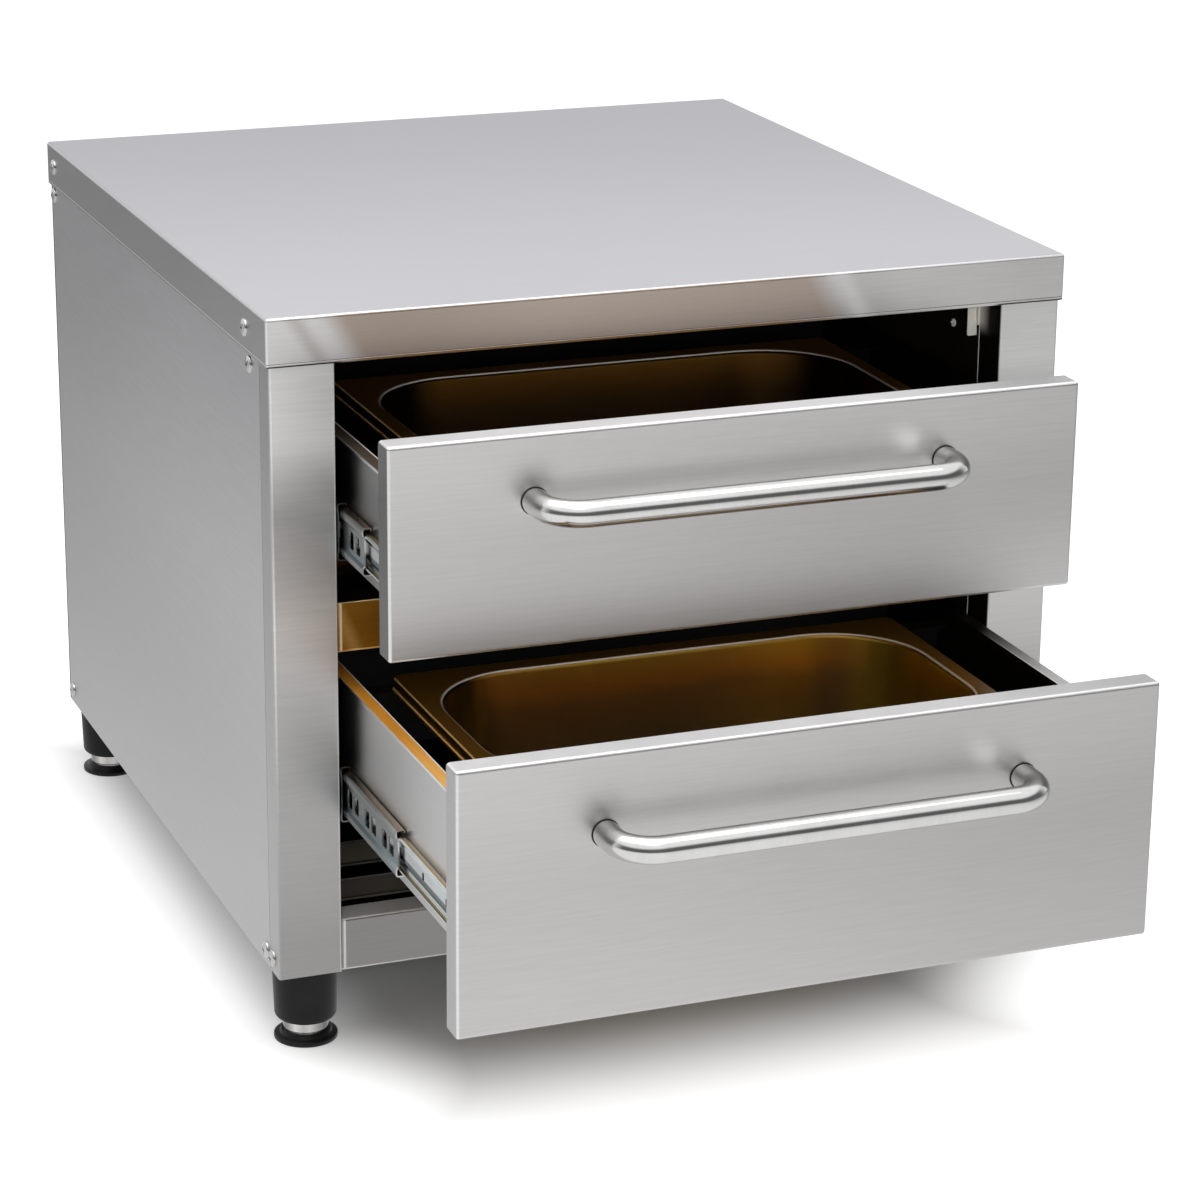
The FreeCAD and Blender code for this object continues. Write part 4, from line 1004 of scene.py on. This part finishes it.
def make_pan(level):
    """A deep-drawn pan: beaded lip, flat rim, rounded mouth, tapered walls and rounded floor."""
    low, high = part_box(f"{level}_pan")
    rim = high.z
    depth = rim - low.z - PAN_SHEET
    bead = [(PAN_BEAD, 0, 0), (0, 0, BEAD_ROUND), (0, 2.2 * PAN_BEAD, BEAD_ROUND)]
    bead += [(PAN_BEAD, 2.6 * PAN_BEAD, PAN_BEAD * 0.3), (PAN_BEAD, 5 * PAN_BEAD, 0)]
    lip = [(inset, rim - PAN_LIP + rise) for inset, rise in with_rounds(bead, steps=BEAD_STEPS)]
    for step in range(ARC_STEPS + 1):
        angle = math.pi / 2 * step / ARC_STEPS
        inset = PAN_BEAD + PAN_LIP_ROUND * (1 - math.cos(angle))
        lip.append((inset, rim - PAN_LIP_ROUND * (1 - math.sin(angle))))
    rows = [rounded_row(low, high, inset, inset, PAN_RIM_CORNER - inset, height) for inset, height in lip]
    taper = math.tan(PAN_DRAFT) * depth
    wall = [(-PAN_MOUTH_ROUND, 0, 0), (0, 0, PAN_MOUTH_ROUND)]
    wall += [(taper, -depth, PAN_FLOOR_ROUND), (taper + 2 * PAN_FLOOR_ROUND, -depth, 0)]
    for inset, drop in with_rounds(wall, steps=ARC_STEPS + 2):
        corner = PAN_WELL_CORNER - max(inset, 0) * PAN_CORNER_TAPER
        rows.append(rounded_row(low, high, PAN_RIM_X + inset, PAN_RIM_Y + inset, corner, rim + drop))
    pan = lofted(f"{level}_drawn_pan", rows, caps=(-1,), crease=PAN_CREASE)
    thickened(pan, PAN_SHEET, PAN_CREASE)
    seat(pan, f"{level}_drawer", "pan_steel", pan_steels[level], f"{level}_pan")


# Telescopic slides: rolled members, drawn for the right-hand side and mirrored for the left

SLIDE_GAUGE = 1.4 * MM
RACE_ROUND = 2.6 * MM
RACE_LIP = 2.6 * MM
RACE_HEIGHT = 6.5 * MM
WEB_STEP = 2.2 * MM
OUTER_WEB_STEP = WEB_STEP * 0.3
STEP_RUN = 3 * MM
STEP_ROUND = 1.5 * MM
RIB_DEPTH = 0.9 * MM
RIB_HALF = 0.9 * MM
RIB_ROUND = 0.2 * MM
INNER_RIBS = (-11.6 * MM, -13.9 * MM)
SLIDE_CREASE = 38
WINDOW_LENGTH = 14 * MM
WINDOW_HEIGHT = 17 * MM
WINDOW_BRIDGE = 6 * MM
WINDOW_PITCH = 52 * MM
WINDOW_COUNT = 9
WINDOW_ROUND = 3 * MM
SLOT_LENGTH = 5 * MM
SLOT_HEIGHT = 8 * MM
SLOT_ROUND = SLOT_LENGTH * 0.45
SLOT_PITCH = 64 * MM
SLOT_COUNT = 7
PUNCH_REACH = 12 * MM
PUNCH_STEPS = 4


def rolled_member(name, side, web, edge, low, high, step, ribs):
    """One rolled slide member: ball races at both edges and a stepped web between them.

    web and edge are its X places at the web and at the race lips. The web's middle band stands
    nearer to the lips by step. ribs are the heights of lines pressed into the web."""
    opens = 1 if edge > web else -1
    inside = SLIDE_GAUGE / 2
    back = web + inside * opens
    mouth = edge - inside * opens
    race = (high.z - low.z) / 2 - inside
    shoulder = race - RACE_HEIGHT
    upper_path = [(mouth, race - RACE_LIP, 0), (mouth, race, RACE_ROUND * 0.5), (back, race, RACE_ROUND)]
    upper_path += [(back, shoulder, STEP_ROUND), (back + step * opens, shoulder - STEP_RUN, STEP_ROUND)]
    lower_path = [(x, -z, radius) for x, z, radius in upper_path[::-1]]
    grooves = []
    for rib in ribs:
        grooves += [(back, rib + RIB_HALF, RIB_ROUND), (back + RIB_DEPTH * opens, rib, RIB_ROUND)]
        grooves.append((back, rib - RIB_HALF, RIB_ROUND))
    corners = upper_path + lower_path[:2] + grooves + lower_path[2:]
    outline = strip(with_rounds(corners), SLIDE_GAUGE)
    middle = (low.z + high.z) / 2
    rows = [[Vector((x * side, y, middle + z)) for x, z in outline] for y in (low.y, high.y)]
    return lofted(name, rows, crease=SLIDE_CREASE)


def punched(piece, side, web, openings, middle):
    """Cuts rounded openings, given as (start, length, height, round), through a member's web."""
    cutters = []
    for start, length, height, corner in openings:
        corners = rectangle(start, start + length, -height / 2, height / 2, corner)
        outline = with_rounds(corners, True, PUNCH_STEPS)
        faces = (web - PUNCH_REACH, web + PUNCH_REACH)
        rows = [[Vector((x * side, y, middle + z)) for y, z in outline] for x in faces]
        cutters.append(lofted("punch", rows))
    punch = joined("punches", cutters)
    worked(piece, "BOOLEAN", object=punch, operation="DIFFERENCE", solver="EXACT")
    discard(punch)
    smoothed(piece.data, SLIDE_CREASE)


def window_row(start):
    """Pairs of windows along the intermediate member."""
    openings = []
    for pair in range(WINDOW_COUNT):
        y = start + 2 * WINDOW_BRIDGE + pair * WINDOW_PITCH
        for _ in range(2):
            openings.append((y, WINDOW_LENGTH, WINDOW_HEIGHT, WINDOW_ROUND))
            y += WINDOW_LENGTH + WINDOW_BRIDGE
    return openings


def slot_row(start):
    """Upright fixing slots along the drawer member."""
    places = [start + SLOT_PITCH / 2 + index * SLOT_PITCH for index in range(SLOT_COUNT)]
    return [(y, SLOT_LENGTH, SLOT_HEIGHT, SLOT_ROUND) for y in places]


def make_slides(level):
    """Both slides of a drawer. Each has a member on the cabinet, one between and one on the drawer."""
    members = (
        ("outer", "cabinet", OUTER_WEB_STEP, (), None),
        ("middle", f"{level}_slide_carriage", WEB_STEP, (), window_row),
        ("inner", f"{level}_drawer", WEB_STEP, INNER_RIBS, slot_row),
    )
    for side_name, side in SIDES.items():
        for member, body, step, ribs, opening_row in members:
            node = f"{level}_{side_name}_slide_{member}"
            low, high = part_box(node)
            near, far = sorted((low.x * side, high.x * side))
            web, edge = (near, far) if member == "inner" else (far, near)
            piece = rolled_member(f"{node}_rolled", side, web, edge, low, high, step, ribs)
            if opening_row:
                punched(piece, side, web, opening_row(low.y), (low.z + high.z) / 2)
            seat(piece, body, "zinc_slide", slide_zinc[member], node)


# Legs and levelling feet

LEG_TOP = 32 * MM
LEG_WAIST = 30 * MM
LEG_BORE = 22.6 * MM
LEG_BORE_DEPTH = 12 * MM
LEG_END_ROUND = 6 * MM
LEG_EDGE = 1 * MM
LEG_HEAD_SHARE = 0.9
LEG_STEPS = 8
PAD_STEP = 5.5 * MM
PAD_FOOT_INSET = 3 * MM
PAD_CHAMFER = 0.5 * MM
PAD_WALL_SHARE = 0.55
PAD_STEP_SHARE = 0.66
PAD_TAPER = 1.5 * MM
PAD_DISH = 0.2 * MM
PAD_TOP_INSET = 5 * MM
PAD_STEPS = 5
SLEEVE_NECK = 1.2 * MM
SLEEVE_FLARE = (2 * MM, 3 * MM)
SLEEVE_STEPS = 4


def foot_centre(corner):
    """The point on the floor under the middle of a foot."""
    low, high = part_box(f"{corner}_foot_pad")
    return Vector(((low.x + high.x) / 2, (low.y + high.y) / 2, 0))


def make_legs():
    """Black tapered sleeves with rounded ends, all four in one node."""
    low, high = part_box("leg_sleeves")
    corners = [(LEG_BORE, low.z + LEG_BORE_DEPTH, 0), (LEG_BORE, low.z, LEG_EDGE)]
    corners += [(LEG_WAIST, low.z, LEG_END_ROUND), (LEG_TOP, high.z - LEG_EDGE, LEG_EDGE)]
    corners.append((LEG_TOP * LEG_HEAD_SHARE, high.z, 0))
    outline = with_rounds(corners, steps=LEG_STEPS)
    legs = [turned(f"{corner}_leg", outline, foot_centre(corner)) for corner in FOOT_CORNERS]
    seat(joined("tapered_legs", legs), "cabinet", "black_leg", leg_black, "leg_sleeves")


def make_foot(corner):
    """A bright adjusting sleeve on a stepped black pad."""
    centre = foot_centre(corner)
    low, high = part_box(f"{corner}_foot_pad")
    radius = (high.x - low.x) / 2
    thick = high.z - low.z
    step = radius - PAD_STEP
    corners = [(radius - PAD_FOOT_INSET, 0, 0), (radius, PAD_CHAMFER, 1 * MM)]
    corners += [(radius, thick * PAD_WALL_SHARE, 1.4 * MM), (step, thick * PAD_STEP_SHARE, 0.6 * MM)]
    corners += [(step - PAD_TAPER, thick - PAD_DISH, 1 * MM), (step - PAD_TOP_INSET, thick, 0)]
    foot = turned(f"{corner}_stepped_pad", with_rounds(corners, steps=PAD_STEPS), centre)
    seat(foot, f"{corner}_foot", "black_pad", pad_black, f"{corner}_foot_pad")
    low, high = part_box(f"{corner}_foot_sleeve")
    radius = (high.x - low.x) / 2
    neck = radius - SLEEVE_NECK
    bottom, top = [low.z + height for height in SLEEVE_FLARE]
    corners = [(neck, low.z, 0), (neck, bottom, 0.3 * MM), (radius, top, 0.6 * MM), (radius, high.z, 0)]
    sleeve = turned(f"{corner}_bright_sleeve", with_rounds(corners, steps=SLEEVE_STEPS), centre)
    seat(sleeve, f"{corner}_foot", "chrome_sleeve", chrome, f"{corner}_foot_sleeve")


# Button-head casing bolts, and the screws and tabs that hold the inner walls

BOLT_SIDES = 48
BOLT_CREASE = 48
HEAD_SPREAD = 1.2
HEAD_WALL = 0.2
DOME_SHARES = (0.95, 0.85, 0.7, 0.6)
SOCKET_ARM = 3.4 * MM
SOCKET_HALF_WIDTH = 0.9 * MM
SOCKET_DEPTH = 1.5 * MM
SOCKET_CHAMFER = 0.2 * MM
SOCKET_FLARE = 1.08


def cross_reach(angle):
    """How far a cross-shaped recess reaches in a direction."""
    folded = (angle + math.pi / 4) % (math.pi / 2) - math.pi / 4
    return min(SOCKET_ARM / math.cos(folded), SOCKET_HALF_WIDTH / max(abs(math.sin(folded)), 0.05))


def button_head(name, base, outward, radius, height):
    """A domed bolt head with a cross recess."""
    turn = outward.to_track_quat("Z", "Y")
    angles = [math.tau * index / BOLT_SIDES for index in range(BOLT_SIDES)]
    recess = [cross_reach(angle) for angle in angles]
    levels = [([radius] * BOLT_SIDES, 0), ([radius] * BOLT_SIDES, height * HEAD_WALL)]
    for share in DOME_SHARES:
        rise = height * (HEAD_WALL + (1 - HEAD_WALL) * math.sqrt(1 - share * share))
        levels.append(([radius * share] * BOLT_SIDES, rise))
    levels.append(([reach * SOCKET_FLARE for reach in recess], height))
    levels += [(recess, height - SOCKET_CHAMFER), (recess, height - SOCKET_DEPTH)]
    rows = []
    for reaches, rise in levels:
        row = []
        for angle, reach in zip(angles, reaches):
            row.append(base + turn @ Vector((math.cos(angle) * reach, math.sin(angle) * reach, rise)))
        rows.append(row)
    return lofted(name, rows, crease=BOLT_CREASE)


def make_bolts():
    """A button head over each packed bolt, a little wider than its solid."""
    heads = []
    for low, high in island_boxes("casing_bolts"):
        spans = high - low
        centre = (low + high) / 2
        axis = min(range(3), key=lambda k: spans[k])
        outward = Vector([math.copysign(1, centre[k]) if k == axis else 0 for k in range(3)])
        base = centre - outward * spans[axis] / 2
        radius = HEAD_SPREAD * max(spans) / 2
        heads.append(button_head("bolt", base, outward, radius, spans[axis]))
    seat(joined("casing_bolt_heads", heads), "cabinet", "bolt_steel", bolt_steel, "casing_bolts")


WALL_SCREW_ROWS = (-323 * MM, 250 * MM)
WALL_SCREW_DROP = 85.5 * MM
WALL_SCREW_RADIUS = 4 * MM
WALL_SCREW_HEIGHT = 2 * MM
TIE_TAB_Y = -372 * MM
TIE_TAB_Z = (637 * MM, 668 * MM)
TIE_TAB_WIDTH = 10 * MM
TIE_TAB_GAUGE = 1.2 * MM
TIE_TAB_ROUND = 1.5 * MM
TIE_TAB_STEPS = 4


def wall_face(side_name):
    """The X place of an inner wall's open face, and the height of the wall's top."""
    low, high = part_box(f"{side_name}_inner_wall")
    return (low.x if SIDES[side_name] > 0 else high.x), high.z


def make_wall_screws():
    """Small screws high on the inner walls, which tie them to the casing."""
    heads = []
    for side_name, side in SIDES.items():
        face, top = wall_face(side_name)
        for y in WALL_SCREW_ROWS:
            base = Vector((face, y, top - WALL_SCREW_DROP))
            outward = Vector((-side, 0, 0))
            heads.append(button_head("screw", base, outward, WALL_SCREW_RADIUS, WALL_SCREW_HEIGHT))
    seat(joined("inner_wall_screws", heads), "cabinet", "bolt_steel", bracket_steel)


def make_tie_tabs():
    """Pale tabs at the front of the inner walls, under the cap."""
    tabs = []
    bottom, top = TIE_TAB_Z
    for side_name, side in SIDES.items():
        face = wall_face(side_name)[0]
        tip = face - side * TIE_TAB_WIDTH
        corners = [(face, bottom, 0), (tip, bottom, TIE_TAB_ROUND)]
        corners += [(tip, top, TIE_TAB_ROUND), (face, top, 0)]
        outline = with_rounds(corners, True, TIE_TAB_STEPS)
        rows = [[Vector((x, y, z)) for x, z in outline] for y in (TIE_TAB_Y, TIE_TAB_Y + TIE_TAB_GAUGE)]
        tabs.append(lofted("tab", rows))
    seat(joined("inner_wall_tie_tabs", tabs), "cabinet", "inner_steel", bracket_steel)


# Cable gland

GLAND_NUT_LENGTH = 20 * MM
GLAND_HEXAGON = 6 * MM
GLAND_SHOULDER = (7 * MM, 15 * MM)
GLAND_MOUTH_DEPTH = 8 * MM
GLAND_EDGE = 0.5 * MM
GLAND_SIDES = 48
# Radii as shares of half the gland's height
HEXAGON_SHARE = 0.97
NECK_SHARE = 0.72
DOME_SHARE = 0.80
CROWN_SHARE = 0.48
MOUTH_SHARE = 0.34
STUB_SHARE = 0.68


def make_gland():
    """A clamping dome on a hexagon against the back panel, and the stub that goes through the sheet."""
    low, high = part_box("cable_gland")
    middle = Vector(((low.x + high.x) / 2, 0, (low.z + high.z) / 2))
    base = high.y - GLAND_NUT_LENGTH
    flat = (high.z - low.z) / 2
    hexagon = ring(middle, flat * HEXAGON_SHARE, Y_AXIS, 6)
    rows = [[point + Y_AXIS * y for point in hexagon] for y in (base, base + GLAND_HEXAGON)]
    nut = lofted("gland_hexagon", rows)
    bottom, top = [base + height for height in GLAND_SHOULDER]
    corners = [(flat * NECK_SHARE, base + GLAND_HEXAGON, 0), (flat * DOME_SHARE, bottom, GLAND_EDGE)]
    corners += [(flat * DOME_SHARE, top, 3 * MM), (flat * CROWN_SHARE, high.y, 1.5 * MM)]
    corners += [(flat * MOUTH_SHARE, high.y - GLAND_EDGE, GLAND_EDGE)]
    corners.append((flat * MOUTH_SHARE, base + GLAND_MOUTH_DEPTH, 0))
    dome = turned("gland_dome", with_rounds(corners), middle, Y_AXIS, GLAND_SIDES)
    outline = [(flat * STUB_SHARE, low.y), (flat * STUB_SHARE, base)]
    stub = turned("gland_stub", outline, middle, Y_AXIS, GLAND_SIDES)
    seat(joined("ribbed_gland", [nut, dome, stub]), "cabinet", "black_plastic", part_black, "cable_gland")


make_cap()
for level in LEVELS:
    make_front(level)
    make_handle(level)
    make_pan(level)
    make_slides(level)
make_legs()
for corner in FOOT_CORNERS:
    make_foot(corner)
make_bolts()
make_wall_screws()
make_tie_tabs()
make_gland()

dress(side_steel, "left_side_panel", "right_side_panel")
dress(post_steel, "front_left_post", "front_right_post")
dress(warm_rail_steel, "middle_rail")
dress(rail_steel, "bottom_rail")
dress(back_steel, "back_panel")
dress(tray_steel, "bottom_panel")
dress(cavity_steel, "left_inner_wall", "right_inner_wall")
dress(shelf_steel, "divider_shelf")
dress(bracket_steel, "top_brackets")
dress(heater_steel, "upper_heating_element", "lower_heating_element")
dress(ceramic, "element_standoffs")
dress(part_black, "terminal_block", "thermostat")
for level in LEVELS:
    dress(plate_steel, f"{level}_front_inner_plate")
    for side_name in SIDES:
        dress(wall_steels[level, side_name], f"{level}_drawer_{side_name}_wall")
    dress(shade_black_steel, f"{level}_pan_rails", f"{level}_drawer_back_wall")
    dress(bolt_steel, f"{level}_handle_screws")

# Studio: floor, light and camera

FLOOR_HALF = 12.0
FLOOR_DROP = 0.4 * MM
FOOTPRINT_X = 0.30
FOOTPRINT_FRONT = 0.48
FOOTPRINT_BACK = 0.36
FOOTPRINT_TAPER = 0.13
TAPER_RUN = (0.36, 0.6)
SHADOW_EDGE = (-0.04, 0.21)
FLOOR_GREY = 0.62
FLOOR_GLOW = 0.9
FADE_RIGHT = 0.22
FADE_BACK = 0.26
POOL_LEAST = 0.3
POOL_SHARE = 0.85
ROOM_DARK = 0.12
ROOM_BEHIND = (-0.2, 0.45)
ROOM_ABOVE = (0.36, 0.6)
AMBIENT = 0.30
AMBIENT_RISE = (0.15, 0.6)
OVERHEAD_WATTS = 70.0
FRONT_WATTS = 40.0


def ray_kinds(wire):
    """1 on camera rays, on glossy rays and on transmission rays, each as a value of its own."""
    kinds = ("Camera", "Glossy", "Transmission")
    return [wire.node("ShaderNodeLightPath", output=f"Is {kind} Ray") for kind in kinds]


def make_floor():
    """A pale floor that keeps the shadow under the cabinet, is white further out and mirrors pale, as a
    painted pool of light that dims to the right and the back.
    """
    bm = bmesh.new()
    bmesh.ops.create_grid(bm, x_segments=2, y_segments=2, size=FLOOR_HALF)
    floor = piece_from("studio_floor", bm)
    floor.location.z = -FLOOR_DROP
    material, place = new_finish("pale_floor")
    camera, glossy, clear = ray_kinds(place)
    across, along = place.part("X"), place.part("Y")
    ends = (along - FOOTPRINT_BACK).larger(-FOOTPRINT_FRONT - along)
    taper = (0 - along).between(*TAPER_RUN) * FOOTPRINT_TAPER
    away = (across.size() + taper - FOOTPRINT_X).larger(ends).between(*SHADOW_EDGE)
    # In reflections the floor shows a painted pool of light, dimmer to the right and the back.
    pool = 1 - across.larger(0.0) * FADE_RIGHT - along.larger(0.0) * FADE_BACK
    matt = place.node("ShaderNodeBsdfDiffuse", {}, {"Color": opaque(grey(FLOOR_GREY))})
    mirrored = place.node("ShaderNodeEmission", {}, {"Color": pool.larger(POOL_LEAST), "Strength": 1.0})
    lit = place.node("ShaderNodeMixShader", {}, {0: glossy * POOL_SHARE, 1: matt, 2: mirrored})
    glow = place.node("ShaderNodeEmission", {}, {"Color": (camera + clear) * away, "Strength": FLOOR_GLOW})
    both = place.node("ShaderNodeAddShader", {}, {0: lit, 1: glow})
    place.node("ShaderNodeOutputMaterial", {}, {"Surface": both})
    floor.data.materials.append(material)


def make_world():
    """A white room to the camera, dark low on the viewer's side in reflections, and lit from above."""
    world = bpy.data.worlds.new("studio")
    bpy.context.scene.world = world
    world.use_nodes = True
    world.node_tree.nodes.clear()
    wire = Wire(world.node_tree)
    camera, glossy, clear = ray_kinds(wire)
    way = wire.node("ShaderNodeTexCoord", output="Generated")
    rise = way.part("Z")
    room = way.part("Y").between(*ROOM_BEHIND).larger(rise.between(*ROOM_ABOVE)).spread(ROOM_DARK, 1.0)
    seen = camera + clear + glossy * room
    lit = wire.node("ShaderNodeBackground", {}, {"Color": rise.between(*AMBIENT_RISE), "Strength": AMBIENT})
    shown = wire.node("ShaderNodeBackground", {}, {"Color": seen, "Strength": 1.0})
    both = wire.node("ShaderNodeMixShader", {}, {0: camera + glossy + clear, 1: lit, 2: shown})
    wire.node("ShaderNodeOutputWorld", {}, {"Surface": both})


def make_softbox(name, place, target, width, depth, watts):
    """A rectangular lamp that looks at a point."""
    light = bpy.data.lights.new(name, "AREA")
    light.shape = "RECTANGLE"
    light.size = width
    light.size_y = depth
    light.energy = watts
    lamp = bpy.data.objects.new(name, light)
    bpy.context.scene.collection.objects.link(lamp)
    lamp.location = place
    lamp.rotation_euler = (Vector(target) - Vector(place)).to_track_quat("-Z", "Y").to_euler()
    return lamp


CAMERA_PLACE = Vector((-1.3033, -3.5464, 1.5406))
CAMERA_AZIMUTH = math.radians(-21.42)
CAMERA_RISE = math.radians(18.40)
CAMERA_ROLL = math.radians(0.60)
CAMERA_LENS = 111.6
SENSOR = 36.0


def make_camera():
    """The camera at the photograph's viewing angle."""
    camera = bpy.data.cameras.new("photo_camera")
    camera.lens = CAMERA_LENS
    camera.sensor_width = SENSOR
    lens = bpy.data.objects.new("photo_camera", camera)
    bpy.context.scene.collection.objects.link(lens)
    flat = math.cos(CAMERA_RISE)
    back_x = math.sin(CAMERA_AZIMUTH) * flat
    back_y = -math.cos(CAMERA_AZIMUTH) * flat
    back = Vector((back_x, back_y, math.sin(CAMERA_RISE)))
    right = Z_AXIS.cross(back).normalized()
    up = back.cross(right)
    rolled_right = right * math.cos(CAMERA_ROLL) + up * math.sin(CAMERA_ROLL)
    rolled_up = up * math.cos(CAMERA_ROLL) - right * math.sin(CAMERA_ROLL)
    turn = Matrix((rolled_right, rolled_up, back)).transposed().to_4x4()
    lens.matrix_world = Matrix.Translation(CAMERA_PLACE) @ turn
    bpy.context.scene.camera = lens


make_floor()
make_world()
make_softbox("overhead_softbox", (-0.3, -0.4, 3.4), (0, -0.2, 0.4), 3.4, 2.8, OVERHEAD_WATTS)
front_fill = make_softbox("front_fill", (-0.9, -3.4, 1.35), (0, -0.3, 0.45), 2.0, 0.6, FRONT_WATTS)
front_fill.visible_glossy = False
make_camera()
bpy.context.scene.view_settings.view_transform = "Standard"
